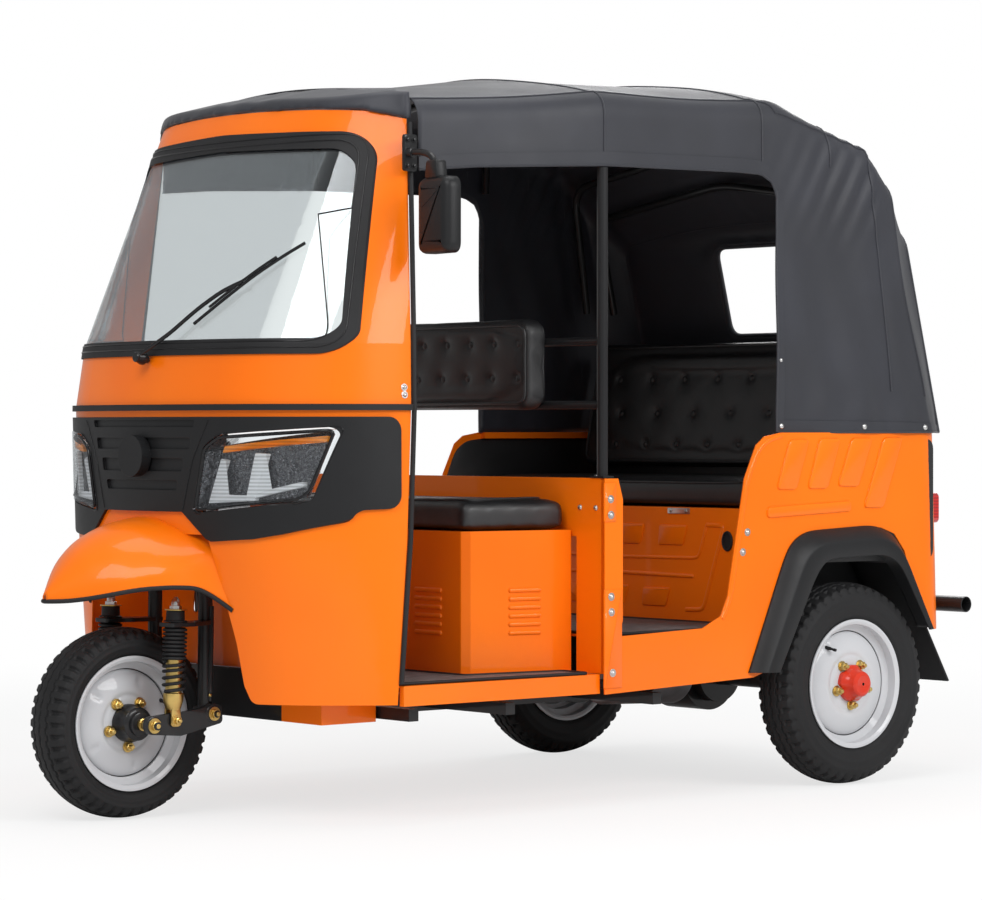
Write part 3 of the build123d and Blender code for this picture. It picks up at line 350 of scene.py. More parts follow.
# %% [markdown]
# ## Paint the solids
# Each carried-over node takes its finish from its place in the vehicle. A short table says which.

# %% Assign finishes
COATS = {
    orange: "front_cowl cab_surround front_mudguard wheel_well cab_floor rear_floor rear_body "
            "partition seat_box bench_base",
    pan_paint: "under_pan",
    black_paint: "chassis_frame seat_frame hood_bows rear_axle leaf_springs rear_bumper fork handlebar "
                 "front_links",
    black_plastic: "grille_mask roof_visor fender_flares arch_liners dashboard wiper mirror_left "
                   "battery_pack",
    rubber: "windscreen_gasket belt_moulding door_welts mudflaps",
    tyre_rubber: "front_tyre rear_left_tyre rear_right_tyre",
    silver: "front_wheel rear_left_wheel rear_right_wheel",
    screen_glass: "windscreen_glass",
    lens_glass: "headlamps",
    red_lens: "tail_lamps",
    casting: "drive_motor",
    brass: "front_shocks",
    leather: "seat_cushion seat_backrest bench_cushion bench_backrest",
    canvas: "canvas_hood",
}
for coat, names in COATS.items():
    for name in names.split():
        node = nodes[name]
        node.data.materials.clear()
        node.data.materials.append(coat)
print("painted:", sum(len(names.split()) for names in COATS.values()), "of", len(nodes))


# %% [markdown]
# ## Shapes from rows of points
# Most small parts are one of four shapes: a grid of points, a profile turned about an axle, a round tube
# along a path, or a flat outline pushed out with a rounded rim. `Shape` gathers any number of them into one
# mesh, so ten bolts are one piece. Spots on curved panels come from a ray cast onto the solid: a table then
# needs two numbers per point, the third is measured, and a bolt can't float off its panel.

# %% Shape
X_WAY, Y_WAY, Z_WAY = Vector((1, 0, 0)), Vector((0, 1, 0)), Vector((0, 0, 1))


def across(way):
    """Two directions square to way."""
    helper = Z_WAY if abs(way.normalized().z) < 0.9 else X_WAY
    first = way.cross(helper).normalized()
    return first, way.cross(first).normalized()


class Shape:
    """Faces gathered into one mesh."""

    def __init__(self):
        self.verts = []
        self.faces = []

    def grid(self, rows, wrap_rows=False, wrap_columns=False, caps=False):
        base, count, wide = len(self.verts), len(rows), len(rows[0])
        for row in rows:
            self.verts.extend(tuple(point) for point in row)
        for i in range(count if wrap_rows else count - 1):
            for j in range(wide if wrap_columns else wide - 1):
                k, m = (i + 1) % count, (j + 1) % wide
                self.faces.append((base + i * wide + j, base + k * wide + j, base + k * wide + m,
                                   base + i * wide + m))
        if caps:
            self.faces.append(tuple(base + j for j in range(wide))[::-1])
            self.faces.append(tuple(base + (count - 1) * wide + j for j in range(wide)))
        return self

    def lathe(self, profile, centre, way, steps=32):
        """Turn rows of (radius, place along the way) about the way through centre."""
        centre, way = Vector(centre), Vector(way).normalized()
        first, second = across(way)
        rows = []
        for radius, place in profile:
            turn = [2 * math.pi * k / steps for k in range(steps)]
            rows.append([centre + way * place + (first * math.cos(a) + second * math.sin(a)) * radius
                         for a in turn])
        return self.grid(rows, wrap_columns=True, caps=True)

    def bolt(self, place, way, radius, height, sides=6):
        """A hexagon head on a washer with a domed end."""
        washer = [(radius * 1.5, 0), (radius * 1.5, height * 0.2), (radius * 1.1, height * 0.22)]
        head = [(radius, height * 0.1), (radius, height * 0.9), (radius * 0.8, height)]
        return self.lathe(washer, place, way, 20).lathe(head, place, way, sides)

    def rivet(self, place, way, radius, height):
        """A domed head."""
        rows = [(radius * math.cos(a), height * math.sin(a)) for a in (0, 0.4, 0.8, 1.2, 1.5)]
        return self.lathe(rows, place, way, 14)

    def tube(self, path, radius, sides=10, closed=False):
        """A round bar along a path of points; radius is one number or one per point."""
        path = [Vector(p) for p in path]
        radii = radius if isinstance(radius, (list, tuple)) else [radius] * len(path)
        rows, count, first = [], len(path), None
        for i, point in enumerate(path):
            before = path[i - 1] if i or closed else point
            after = path[(i + 1) % count] if i < count - 1 or closed else point
            way = (after - before).normalized()
            first = across(way)[0] if first is None else (first - way * first.dot(way)).normalized()
            second = way.cross(first)
            turn = [2 * math.pi * k / sides for k in range(sides)]
            rows.append([point + (first * math.cos(a) + second * math.sin(a)) * radii[i] for a in turn])
        return self.grid(rows, wrap_rows=closed, wrap_columns=True, caps=not closed)

    def slab(self, outline, origin, right, up, depth, rim=0.0, back=0.0):
        """A flat outline of (right, up) points pushed out by depth, its front rim rounded over rim."""
        right, up = Vector(right).normalized(), Vector(up).normalized()
        out = right.cross(up)
        rings = [(0.0, -back), (0.0, depth - rim)]
        if rim:
            rings += [(rim * 0.3, depth - rim * 0.3), (rim, depth)]
        rows = []
        for inset, level in rings:
            ring = inset_outline(outline, inset)
            rows.append([Vector(origin) + right * a + up * b + out * level for a, b in ring])
        return self.grid(rows, wrap_columns=True, caps=True)

    def make(self, name, finish, body="root", smooth=38.0):
        mesh = bpy.data.meshes.new(name)
        mesh.from_pydata([tuple(v) for v in self.verts], [], self.faces)
        mesh.validate()
        mesh.materials.append(finish)
        work = bmesh.new()
        work.from_mesh(mesh)
        bmesh.ops.recalc_face_normals(work, faces=work.faces)
        work.to_mesh(mesh)
        work.free()
        if smooth:
            mesh.shade_smooth()
            mesh.set_sharp_from_angle(angle=math.radians(smooth))
        obj = bpy.data.objects.new(name, mesh)
        scene.collection.objects.link(obj)
        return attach(obj, body)


def inset_outline(outline, amount):
    """Outline of (a, b) points moved inwards by amount; it runs counter-clockwise or clockwise."""
    if not amount:
        return list(outline)
    count = len(outline)
    area = sum(outline[i - 1][0] * outline[i][1] - outline[i][0] * outline[i - 1][1] for i in range(count))
    sign = 1.0 if area > 0 else -1.0
    moved = []
    for i in range(count):
        (ax, ay), (bx, by), (cx, cy) = outline[i - 1], outline[i], outline[(i + 1) % count]
        one = Vector((-(by - ay), bx - ax)).normalized() * sign
        two = Vector((-(cy - by), cx - bx)).normalized() * sign
        middle = (one + two).normalized()
        reach = amount / max(0.35, middle.dot(one))
        moved.append((bx + middle.x * reach, by + middle.y * reach))
    return moved


def rounded(points, radius, steps=5):
    """A closed outline with each corner replaced by an arc; radius is one number or one per corner."""
    count, out = len(points), []
    radii = radius if isinstance(radius, (list, tuple)) else [radius] * count
    for i in range(count):
        corner, before, after = Vector(points[i]), Vector(points[i - 1]), Vector(points[(i + 1) % count])
        one, two = (before - corner), (after - corner)
        reach = min(radii[i], one.length * 0.45, two.length * 0.45)
        start, end = corner + one.normalized() * reach, corner + two.normalized() * reach
        for k in range(steps + 1):
            t = k / steps
            out.append(tuple(start * (1 - t) ** 2 + corner * 2 * t * (1 - t) + end * t * t))
    return out


def dense(points, step, closed=False):
    """Points resampled along their polyline about every step."""
    points = [Vector(p) for p in points] + ([Vector(points[0])] if closed else [])
    out = []
    for a, b in zip(points, points[1:]):
        pieces = max(1, round((b - a).length / step))
        out += [a.lerp(b, k / pieces) for k in range(pieces)]
    return out if closed else out + [points[-1]]


def dense_ring(outline, step):
    """A closed flat outline of (a, b) points, resampled the same way."""
    return [(p.x, p.y) for p in dense([(a, b, 0) for a, b in outline], step, closed=True)]


def soft_path(points, step, passes=2, closed=False):
    """A dense path with its corners smoothed."""
    path = dense(points, step, closed)
    for _ in range(passes):
        inner = [(path[i - 1] + path[i] * 2 + path[(i + 1) % len(path)]) / 4 for i in range(len(path))]
        if not closed:
            inner[0], inner[-1] = path[0], path[-1]
        path = inner
    return path


depsgraph = bpy.context.evaluated_depsgraph_get()
TREES = {}


def cast(node, start, way):
    """Where a ray meets a CAD node: the place and the outward direction there."""
    if node not in TREES:
        TREES[node] = BVHTree.FromObject(nodes[node], depsgraph)
    place, normal, _, _ = TREES[node].ray_cast(Vector(start), Vector(way))
    if place is None:
        return None
    return place, normal if normal.dot(Vector(way)) < 0 else -normal


def front_spot(node, y, z):
    return cast(node, (3.0, y, z), (-1, 0, 0))


def side_spot(node, x, z, side=1):
    return cast(node, (x, 2.0 * side, z), (0, -side, 0))


def on_front(node, table, lift=0.0, lean=None):
    """Points of a (y, z) table placed on a node's front, lifted off it by lift."""
    out, last = [], None
    for y, z in table:
        found = front_spot(node, y, z) or last
        if found:
            last = found
            place, normal = found
            out.append(Vector((place.x, y, z)) + (lean or normal) * lift)
    return out


print("shapes ready")

# %% [markdown]
# ## The hood
# One sheet of coated canvas is stretched over tubular bows: a long roof that drops behind the rear bow, two
# sides and a back with a window. A plain loft would be stiff, so the surface is written as a function of two
# numbers: how far back along the hood, and how far round from the crown to the foot. Between two bows the
# cloth sags, below the shoulder it hangs in soft waves, and where the rear bows lean it gathers in short
# folds.

# %% Hood surface
HOOD_FOOT_Z = 0.949
# columns: X at the crown, X at the foot, crown height, drop to the shoulder, half width
HOOD_BOWS = [
    (0.650, 0.650, 1.822, 0.052, 0.540),
    (0.100, 0.100, 1.880, 0.066, 0.600),
    (-0.530, -0.530, 1.904, 0.072, 0.606),
    (-0.835, -0.960, 1.786, 0.062, 0.628),
    (-0.920, -1.100, 1.690, 0.056, 0.626),
    (-1.040, -1.196, 1.552, 0.044, 0.566),
]
SHOULDER_R = 0.060
CURTAIN_BOW = 2 - 0.010 / 0.630  # where along the bows the side curtain's front edge hangs
BREAK = 0.650  # share of the height at which the curtain edge meets the valance
VALANCE = [(0.650, 1.5905), (0.480, 1.606), (0.088, 1.626), (-0.380, 1.632), (-0.460, 1.630), (-0.500, 1.610),
           (-0.5205, 1.572)]  # columns: X, foot height of the roof's side
BULGE = [(0.0, 0.0), (3.0, 0.0), (4.0, -0.010), (5.0, 0.0)]


def bow_at(t):
    """The bow's numbers at place t, 0 at the front edge and 5 at the rear panel; bow corners are eased."""
    values = np.zeros(5)
    for shift, share in ((-0.06, 0.25), (0.0, 0.5), (0.06, 0.25)):
        s = min(max(t + shift, 0.0), 5.0)
        k = min(int(s), 4)
        values += share * ((1 - s + k) * np.array(HOOD_BOWS[k]) + (s - k) * np.array(HOOD_BOWS[k + 1]))
    if t <= 0.06 or t >= 4.94:
        k = min(int(t), 4)
        values = (1 - t + k) * np.array(HOOD_BOWS[k]) + (t - k) * np.array(HOOD_BOWS[k + 1])
    return values


def half_section(drop, half, rise, foot):
    """(y, height) points from the crown's middle to the foot, then their distance along the section."""
    reach, shoulder = half - SHOULDER_R, rise - drop
    radius = (reach ** 2 + drop ** 2) / (2 * drop)
    line = [(y, rise - radius + math.sqrt(radius ** 2 - y ** 2)) for y in np.linspace(0, reach, 24)]
    for k in range(1, 9):
        a = math.pi / 2 * k / 8
        line.append((reach + SHOULDER_R * math.sin(a),
                     shoulder - SHOULDER_R * (1 - math.cos(a)) + 0.004 * math.sin(2 * a)))
    line.append((half, foot))
    line = np.array(line)
    return line, np.concatenate([[0], np.cumsum(np.hypot(*np.diff(line, axis=0).T))])


def hood_column(t, shares, foot_z):
    """Left half of one section: shares run from 0 at the crown to 1 at foot_z."""
    top_x, foot_x, crown_z, drop, half = bow_at(t)
    rise = math.hypot(top_x - foot_x, crown_z - HOOD_FOOT_Z)
    up = np.array([(top_x - foot_x) / rise, 0, (crown_z - HOOD_FOOT_Z) / rise])
    line, run = half_section(drop, half, rise, (foot_z - HOOD_FOOT_Z) / up[2])
    y = np.interp(np.array(shares) * run[-1], run, line[:, 0])
    height = np.interp(np.array(shares) * run[-1], run, line[:, 1])
    return np.array([foot_x, 0, HOOD_FOOT_Z]) + height[:, None] * up + y[:, None] * np.array([0, 1, 0])


def both_halves(column):
    """The left half and its mirror image as one row, from the left foot over the crown to the right foot."""
    return np.concatenate([column[::-1], (column * np.array([1, -1, 1]))[1:]])


def waves(points, t, seed):
    """Distance each point moves along its normal: sag between bows, folds below the shoulder, broad waves."""
    x, y, z = points.T
    span = abs(math.sin(math.pi * t)) if t < 3 else 0.35 * abs(math.sin(math.pi * t))
    low = np.clip((1.78 - z) / 0.55, 0, 1)
    roof = np.clip((z - 1.66) / 0.16, 0, 1)
    move = -0.007 * span * roof
    side = np.sign(y)
    move += 0.0030 * low * np.sin(21.0 * x + 2.1 * side + 3.2 * z + seed)
    move += 0.0022 * low * np.sin(47.0 * (x - 0.35 * z) + 1.3 * side)
    move += 0.0016 * np.sin(13.0 * y + 9.0 * x) * roof
    gather = np.exp(-((t - 2.75) / 0.55) ** 2)
    ridge = np.sin(95.0 * (x + 0.55 * (z - 1.6)) + 1.1 * side)
    move += 0.0042 * gather * np.exp(-((z - 1.62) / 0.12) ** 2) * ridge
    move += 0.0030 * np.exp(-((z - 1.02) / 0.05) ** 2) * (t > 2) * np.sin(38.0 * x + side + 2.0 * y)
    return move


def push(rows, moves):
    """Rows of points moved along the surface's own normals."""
    rows = np.array(rows)
    along = np.gradient(rows, axis=0)
    down = np.gradient(rows, axis=1)
    normal = np.cross(down, along)
    normal /= np.linalg.norm(normal, axis=2, keepdims=True) + 1e-12
    middle = rows.mean(axis=(0, 1)) - np.array([0, 0, 0.5])
    sign = np.sign(((rows - middle) * normal).sum(axis=2).mean())
    return rows + normal * sign * np.array(moves)[..., None]


ROOF_SHARES = list(np.linspace(0, 1, 46))
CURTAIN_ROWS = 39  # points between the valance and the foot of the side curtain
SHOULDER_COLUMN = 33  # points from the crown to the seam along the shoulder
FRONT_T = list(np.linspace(0, 1.9, 78)) + [1.93, 1.95, 1.965, 1.975, CURTAIN_BOW]
REAR_T = [CURTAIN_BOW] + list(np.linspace(CURTAIN_BOW, 5, 92))[1:]
valance_x, valance_z = (list(c)[::-1] for c in zip(*VALANCE))

front_rows, front_moves = [], []
for t in FRONT_T:
    foot = float(np.interp(bow_at(t)[1], valance_x, valance_z))
    row = both_halves(hood_column(t, ROOF_SHARES, foot))
    front_rows.append(row)
    front_moves.append(waves(row, t, 0.4) * min(1.0, t * 8))
rear_rows, rear_moves = [], []
for t in REAR_T:
    top_x, foot_x, crown_z, drop, half = bow_at(t)
    split = HOOD_FOOT_Z + BREAK * (crown_z - HOOD_FOOT_Z)
    upper = hood_column(t, ROOF_SHARES, split)
    lower = hood_column(t, [1.0], HOOD_FOOT_Z)
    steps = np.linspace(0, 1, CURTAIN_ROWS + 1)[1:, None]
    column = np.concatenate([upper, upper[-1] + (lower[0] - upper[-1]) * steps])
    row = both_halves(column)
    rear_rows.append(row)
    ease = min(1.0, (5 - t) * 6)
    bulge = np.interp(t, *zip(*BULGE)) * np.exp(-((row[:, 2] - 1.35) / 0.22) ** 2)
    rear_moves.append((waves(row, t, 0.4) + bulge) * ease)
front_rows = push(front_rows, front_moves)
rear_rows = push(rear_rows, rear_moves)
front_rows[-1] = rear_rows[0][CURTAIN_ROWS:-CURTAIN_ROWS]
print("hood rows:", front_rows.shape, rear_rows.shape)

# %% [markdown]
# The back panel starts at the last section and closes inwards to the window's rounded frame. Each ring of
# points slides from the outer outline to the window's outline, so the cloth has no pole and its folds run
# towards the window's corners, where a real panel puckers.

# %% Hood back panel and mesh
WINDOW_Z, WINDOW_HALF, WINDOW_TALL, WINDOW_R = 1.358, 0.176, 0.128, 0.040
edge = rear_rows[-1]
outer = np.concatenate([edge, edge[-1] + (edge[0] - edge[-1]) * np.linspace(0, 1, 60)[1:-1, None]])
lean = (HOOD_BOWS[5][0] - HOOD_BOWS[5][1]) / (HOOD_BOWS[5][2] - HOOD_FOOT_Z)


def on_back(y, z):
    return np.array([HOOD_BOWS[5][1] + lean * (z - HOOD_FOOT_Z), y, z])


frame_line = rounded([(-WINDOW_HALF, -WINDOW_TALL), (WINDOW_HALF, -WINDOW_TALL), (WINDOW_HALF, WINDOW_TALL),
                      (-WINDOW_HALF, WINDOW_TALL)], WINDOW_R, 8)
frame_line = np.array(dense_ring(frame_line, 0.002))
frame_turn = np.arctan2(frame_line[:, 1], frame_line[:, 0])
outer_turn = np.arctan2(outer[:, 2] - WINDOW_Z, outer[:, 1])
window_edge = []
for turn in outer_turn:
    nearest = frame_line[np.abs(np.angle(np.exp(1j * (frame_turn - turn)))).argmin()]
    window_edge.append(on_back(nearest[0], WINDOW_Z + nearest[1]))
window_edge = np.array(window_edge)
back_rings = []
for k, share in enumerate(np.linspace(0, 1, 26)):
    ring = outer + (window_edge - outer) * share
    pucker = 0.0035 * math.sin(math.pi * share) * np.sin(11 * outer_turn + 3 * share)
    pucker *= np.exp(-2.5 * (1 - share))
    swell = -0.010 * math.sin(math.pi * min(1, share * 1.15)) + pucker
    back_rings.append(ring + np.array([1, 0, 0]) * swell[:, None] if share else ring)

hood = Shape()
hood.grid(front_rows)
hood.grid(rear_rows)
hood.grid(back_rings, wrap_columns=True)
hood_obj = hood.make("hood_canvas", canvas, smooth=0)
work = bmesh.new()
work.from_mesh(hood_obj.data)
bmesh.ops.remove_doubles(work, verts=work.verts, dist=0.0006)
bmesh.ops.recalc_face_normals(work, faces=work.faces)
work.to_mesh(hood_obj.data)
work.free()
hood_obj.data.shade_smooth()
solid = hood_obj.modifiers.new("cloth", "SOLIDIFY")
solid.thickness = 0.003
solid.offset = -1
print("hood faces:", len(hood_obj.data.polygons))

# %% [markdown]
# Seams are where the panels of canvas are sewn together: a line of piping over each bow, one along each
# shoulder, a hem at every free edge and a welt round the window. Each is a thin tube laid on the surface's
# own points.

# %% Hood seams, hem and rivets
seams, hems = Shape(), Shape()
middle_f, middle_r = front_rows.shape[1] // 2, rear_rows.shape[1] // 2


def near_t(rows_t, t):
    return int(np.abs(np.array(rows_t) - t).argmin())


for t in (1.0, 1.9):
    seams.tube(front_rows[near_t(FRONT_T, t)][2:-2], 0.0032, 6)
for t in (2.55, 3.0, 4.0):
    row = rear_rows[near_t(REAR_T, t)]
    seams.tube(row[8:-8] if t > 2.9 else row[46:-46], 0.0032, 6)
seams.tube(rear_rows[-1], 0.0045, 8)
for side in (1, -1):
    front_line = [row[middle_f + side * SHOULDER_COLUMN] for row in front_rows]
    rear_line = [row[middle_r + side * SHOULDER_COLUMN] for row in rear_rows]
    seams.tube(front_line + rear_line[1:], 0.0030, 6)
seams.tube(window_edge, 0.0065, 8, closed=True)
seams.make("hood_seams", canvas)


def band(rows, inner, lift):
    """A strip between two lines of points, lifted a little."""
    return [[np.array(a) + lift, np.array(b) + lift] for a, b in zip(rows, inner)]


def from_foot(row, k, side):
    """Point k of a row, counted from its left foot for side 1 and from its right foot for side -1."""
    return row[k if side == 1 else -1 - k]


HEM_OUT = 0.0022  # how far the hem's strip stands off the cloth
for side in (1, -1):
    out = np.array([0, HEM_OUT * side, 0])
    valance, valance_in = ([from_foot(row, k, side) for row in front_rows] for k in (0, 2))
    curtain = [from_foot(rear_rows[0], k, side) for k in range(CURTAIN_ROWS + 2)]
    curtain_in = [from_foot(rear_rows[1], k, side) * 0.5 + from_foot(rear_rows[2], k, side) * 0.5
                  for k in range(CURTAIN_ROWS + 2)]
    foot_line, foot_in = ([from_foot(row, k, side) for row in rear_rows] for k in (0, 2))
    for free, inside in ((valance, valance_in), (curtain, curtain_in), (foot_line, foot_in)):
        hems.grid(band(free, inside, out))
        hems.tube(np.array(free) + out * 0.6, 0.0035, 6)
back_foot = outer[len(edge):]
back_in = [p + np.array([lean * 0.036 - HEM_OUT, 0, 0.036]) for p in back_foot]
hems.grid(band(back_foot, back_in, np.array([-HEM_OUT, 0, 0])))
hems.make("hood_hems", canvas)

studs = Shape()
for side in (1, -1):
    for x in (-0.539, -0.830, -1.073):
        k = min(range(len(rear_rows)), key=lambda i: abs(rear_rows[i][1][0] - x))
        place = from_foot(rear_rows[k], 1, side)
        turn = np.array(from_foot(rear_rows[min(k + 1, len(rear_rows) - 1)], 1, side)) - place
        way = Vector((turn[1], -turn[0], 0)).normalized()
        way = way if way.y * side > 0 else -way
        studs.rivet(Vector(place) + way * 0.002, way, 0.0080, 0.0045)
    place = Vector(from_foot(rear_rows[0], 12, side)) + Vector((-0.012, 0.002 * side, 0))
    studs.rivet(place, (0, side, 0), 0.0055, 0.0035)
for y in (-0.42, -0.14, 0.14, 0.42):
    studs.rivet(on_back(y, HOOD_FOOT_Z + 0.018) + np.array([-0.003, 0, 0]), (-1, 0, 0), 0.0080, 0.0045)
studs.make("hood_studs", zinc)
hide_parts("canvas_hood")
area = sum(p.area for p in hood_obj.data.polygons)
print("hood sheet area:", round(area, 3), "m2")

# %% [markdown]
# ## Tyres
# A tyre is one turned surface with a tread cut into it. The cross-section carries the side wall's rings;
# moving points inwards by place round the wheel and across the tread then gives the zigzag grooves and the
# notched shoulder blocks. The pattern repeats 48 times round, each repeat six steps long.

# %% Tyres
def arc_points(a, m, b, count):
    """Points of the circle through three (radius, y) pairs."""
    (ax, ay), (mx, my), (bx, by) = a, m, b
    d = 2 * (ax * (my - by) + mx * (by - ay) + bx * (ay - my))
    a2, m2, b2 = ax * ax + ay * ay, mx * mx + my * my, bx * bx + by * by
    ux = (a2 * (my - by) + m2 * (by - ay) + b2 * (ay - my)) / d
    uy = (a2 * (bx - mx) + m2 * (ax - bx) + b2 * (mx - ax)) / d
    radius = math.hypot(ax - ux, ay - uy)
    turn = np.unwrap([math.atan2(p[1] - uy, p[0] - ux) for p in (a, m, b)])
    places = np.linspace(turn[0], turn[2], count)
    return [(ux + radius * math.cos(t), uy + radius * math.sin(t)) for t in places]


# columns: node, body, centre, bead, flank, wall, shoulder, crown radius
TYRES = [
    ("front", "front_wheel_body", (1.160, 0.0, 0.235), (157, 50), (168, 51), (197, 67), (223, 57), 235),
    ("rear_left", "rear_wheel_left", (-0.790, 0.580, 0.272),
     (165, 50), (176, 51), (222, 63.5), (260, 52), 272),
    ("rear_right", "rear_wheel_right", (-0.790, -0.580, 0.272),
     (165, 50), (176, 51), (222, 63.5), (260, 52), 272),
]
REPEATS, STEPS = 48, 6


def tread_cut(radius, y, angle_step, shoulder, crown):
    """How far a point of the tread moves inwards, in millimetres."""
    phase = angle_step % STEPS
    cut = 0.0
    if abs(y) < shoulder[1] * 0.80:
        zig = 2.2 if phase < 3 else -2.2
        for groove in (-0.44, 0.0, 0.44):
            if abs(y - groove * shoulder[1] - zig) < 2.6:
                cut = 5.0
    if abs(y) > shoulder[1] * 0.66 and phase in ((1, 2) if y > 0 else (4, 5)):
        cut = max(cut, 6.5 * min(1.0, (radius - shoulder[0] + 17) / 8))
    return cut


for name, body, centre, bead, flank, wall, shoulder, crown in TYRES:
    half_wall = arc_points(flank, wall, shoulder, 21)
    tread = arc_points(shoulder, (crown, 0), (shoulder[0], -shoulder[1]), 49)
    mirror = [(r, -y) for r, y in half_wall[::-1]]
    section = [(bead[0], bead[1] - 8), bead] + half_wall[:-1] + tread + mirror[1:]
    section += [(bead[0], -bead[1]), (bead[0], -bead[1] + 8)]
    rows = []
    for step in range(REPEATS * STEPS):
        turn = 2 * math.pi * step / (REPEATS * STEPS)
        row = []
        for radius, y in section:
            r = radius
            if radius > shoulder[0] - 17:
                r -= tread_cut(radius, y, step, shoulder, crown)
            ring = (radius - flank[0]) / (shoulder[0] - flank[0])
            if min(abs(ring - place) for place in (0.12, 0.40, 0.66)) < 0.05:
                y += math.copysign(1.4, y)
            row.append(Vector(centre) + Vector((math.cos(turn) * r, y, math.sin(turn) * r)) / 1000)
        rows.append(row)
    tyre = Shape().grid(rows, wrap_rows=True).make(f"{name}_tread", tyre_rubber, body, smooth=32)
    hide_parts(f"{name}_tyre")
print("tyres:", len(tyre.data.polygons), "faces each")

# %% [markdown]
# ## Wheel faces and hubs
# Each wheel is a rolled rim with a dished disc welded inside it, which leaves a dark joint line between the
# two. The front disc has five pressed dimples between its bolts, the rear one has a flatter dish, a valve in
# a hole and a cast hub painted red with five shallow scallops. All of it turns with its wheel.

# %% Wheel faces and hubs
# columns: distance inside the rim's well radius, place above the disc
FACE = [(5.5, -6), (7, -3), (11, 1), (20, 5), (30, 8.5), (40, 11.5), (48, 13.5), (54, 15), (60, 15.5),
        (65, 14.6), (68, 13.2), (72, 13.4), (76, 15.2), (80, 16), (88, 16.5), (100, 16.5)]
# columns: name, body, centre, side, well radius, disc place, dimples
WHEELS = [
    ("front", "front_wheel_body", (1.160, 0.0, 0.235), 1, 138, 18, 5),
    ("rear_left", "rear_wheel_left", (-0.790, 0.580, 0.272), 1, 146, 22, 0),
    ("rear_right", "rear_wheel_right", (-0.790, -0.580, 0.272), -1, 146, 22, 0),
]
for name, body, centre, side, well, disc, dimples in WHEELS:
    rows = []
    for k in range(180):
        turn = 2 * math.pi * k / 180
        row = []
        for inside, level in FACE:
            radius = well - inside
            for d in range(dimples):
                away = (turn - 2 * math.pi * (d + 0.55) / dimples + math.pi) % (2 * math.pi) - math.pi
                level -= 6.5 * math.exp(-((away * radius / 9) ** 2) - ((radius - (well - 30)) / 8.5) ** 2)
            if not dimples:
                away = (turn - 0.9 + math.pi) % (2 * math.pi) - math.pi
                level -= 5 * math.exp(-((away * radius / 9) ** 4) - ((radius - (well - 19)) / 8) ** 4)
            place = Vector((math.cos(turn) * radius, side * (disc + level), math.sin(turn) * radius)) / 1000
            row.append(Vector(centre) + place)
        rows.append(row)
    face = Shape().grid(rows, wrap_rows=True).make(f"{name}_wheel_face", silver, body, smooth=60)
    wide = 0.1335 + (well - 138) / 1000
    ring = [(wide, (disc - 9) / 1000), (wide, (disc - 4) / 1000),
            (0.1305 + (well - 138) / 1000, (disc - 4) / 1000)]
    joint = Shape().lathe(ring, centre, (0, side, 0), 72)
    joint.make(f"{name}_disc_joint", black_paint, body)
    nuts = Shape()
    for k in range(5):
        a = math.radians(18 + 72 * k)
        place = Vector(centre) + Vector((0.058 * math.cos(a), side * (disc + 15.5) / 1000,
                                         -side * 0.058 * math.sin(a)))
        nuts.lathe([(0.0145, 0), (0.0145, 0.003), (0.011, 0.0035)], place, (0, side, 0), 20)
        nuts.lathe([(0.0112, 0.003), (0.0112, 0.015), (0.0095, 0.0165)], place, (0, side, 0), 6)
        nuts.lathe([(0.0058, 0.015), (0.0055, 0.024), (0.0045, 0.025)], place, (0, side, 0), 14)
    nuts.make(f"{name}_lug_nuts", brass, body)
    valve = Shape()
    a = 0.9 if not dimples else 2.7
    foot = Vector(centre) + Vector((math.cos(a), 0, math.sin(a))) * (well - 19) / 1000
    foot += Vector((0, side * (disc - 4) / 1000, 0))
    stem = [(0.0048, 0), (0.0048, 0.018), (0.0036, 0.020), (0.0036, 0.030), (0.0042, 0.031), (0.0042, 0.037)]
    valve.lathe(stem, foot, Vector((-0.25 * math.cos(a), side, -0.25 * math.sin(a))), 12)
    valve.make(f"{name}_valve", rubber, body)
    if dimples:
        for end, label in ((1, "left"), (-1, "right")):
            profile = [(0.047, 0.031), (0.047, 0.052), (0.044, 0.056), (0.041, 0.070), (0.041, 0.079),
                       (0.037, 0.083), (0.030, 0.084), (0.030, 0.094), (0.024, 0.096)]
            drum = Shape().lathe(profile, centre, (0, end, 0), 40)
            drum.make(f"front_hub_{label}", black_paint, body)
    else:
        rows = []
        outline = [(50, 36), (50, 50), (46, 55), (40, 61), (36, 70), (33.5, 80), (29, 84.5), (23, 86),
                   (20, 85), (4, 85)]
        for k in range(96):
            turn = 2 * math.pi * k / 96
            row = []
            for radius, level in outline:
                r = radius - (4.0 * max(0.0, math.cos(5 * turn + side * math.pi / 2)) if radius > 45 else 0.0)
                row.append(Vector(centre) + Vector((math.cos(turn) * r, side * level,
                                                    math.sin(turn) * r)) / 1000)
            rows.append(row)
        Shape().grid(rows, wrap_rows=True).make(f"{name}_hub", red_paint, body, smooth=28)
print("wheels dressed:", len(WHEELS))

# %% [markdown]
# ## Front fork, links and shocks
# Each shock is a stack of turned parts: a clevis and a cup in yellow zinc, a black spring over the yellow
# body, a ribbed rubber boot, the plate of the fork, a rubber bush, a washer and a dome nut. The leading links
# are black with yellow bolts, and all of it steers.

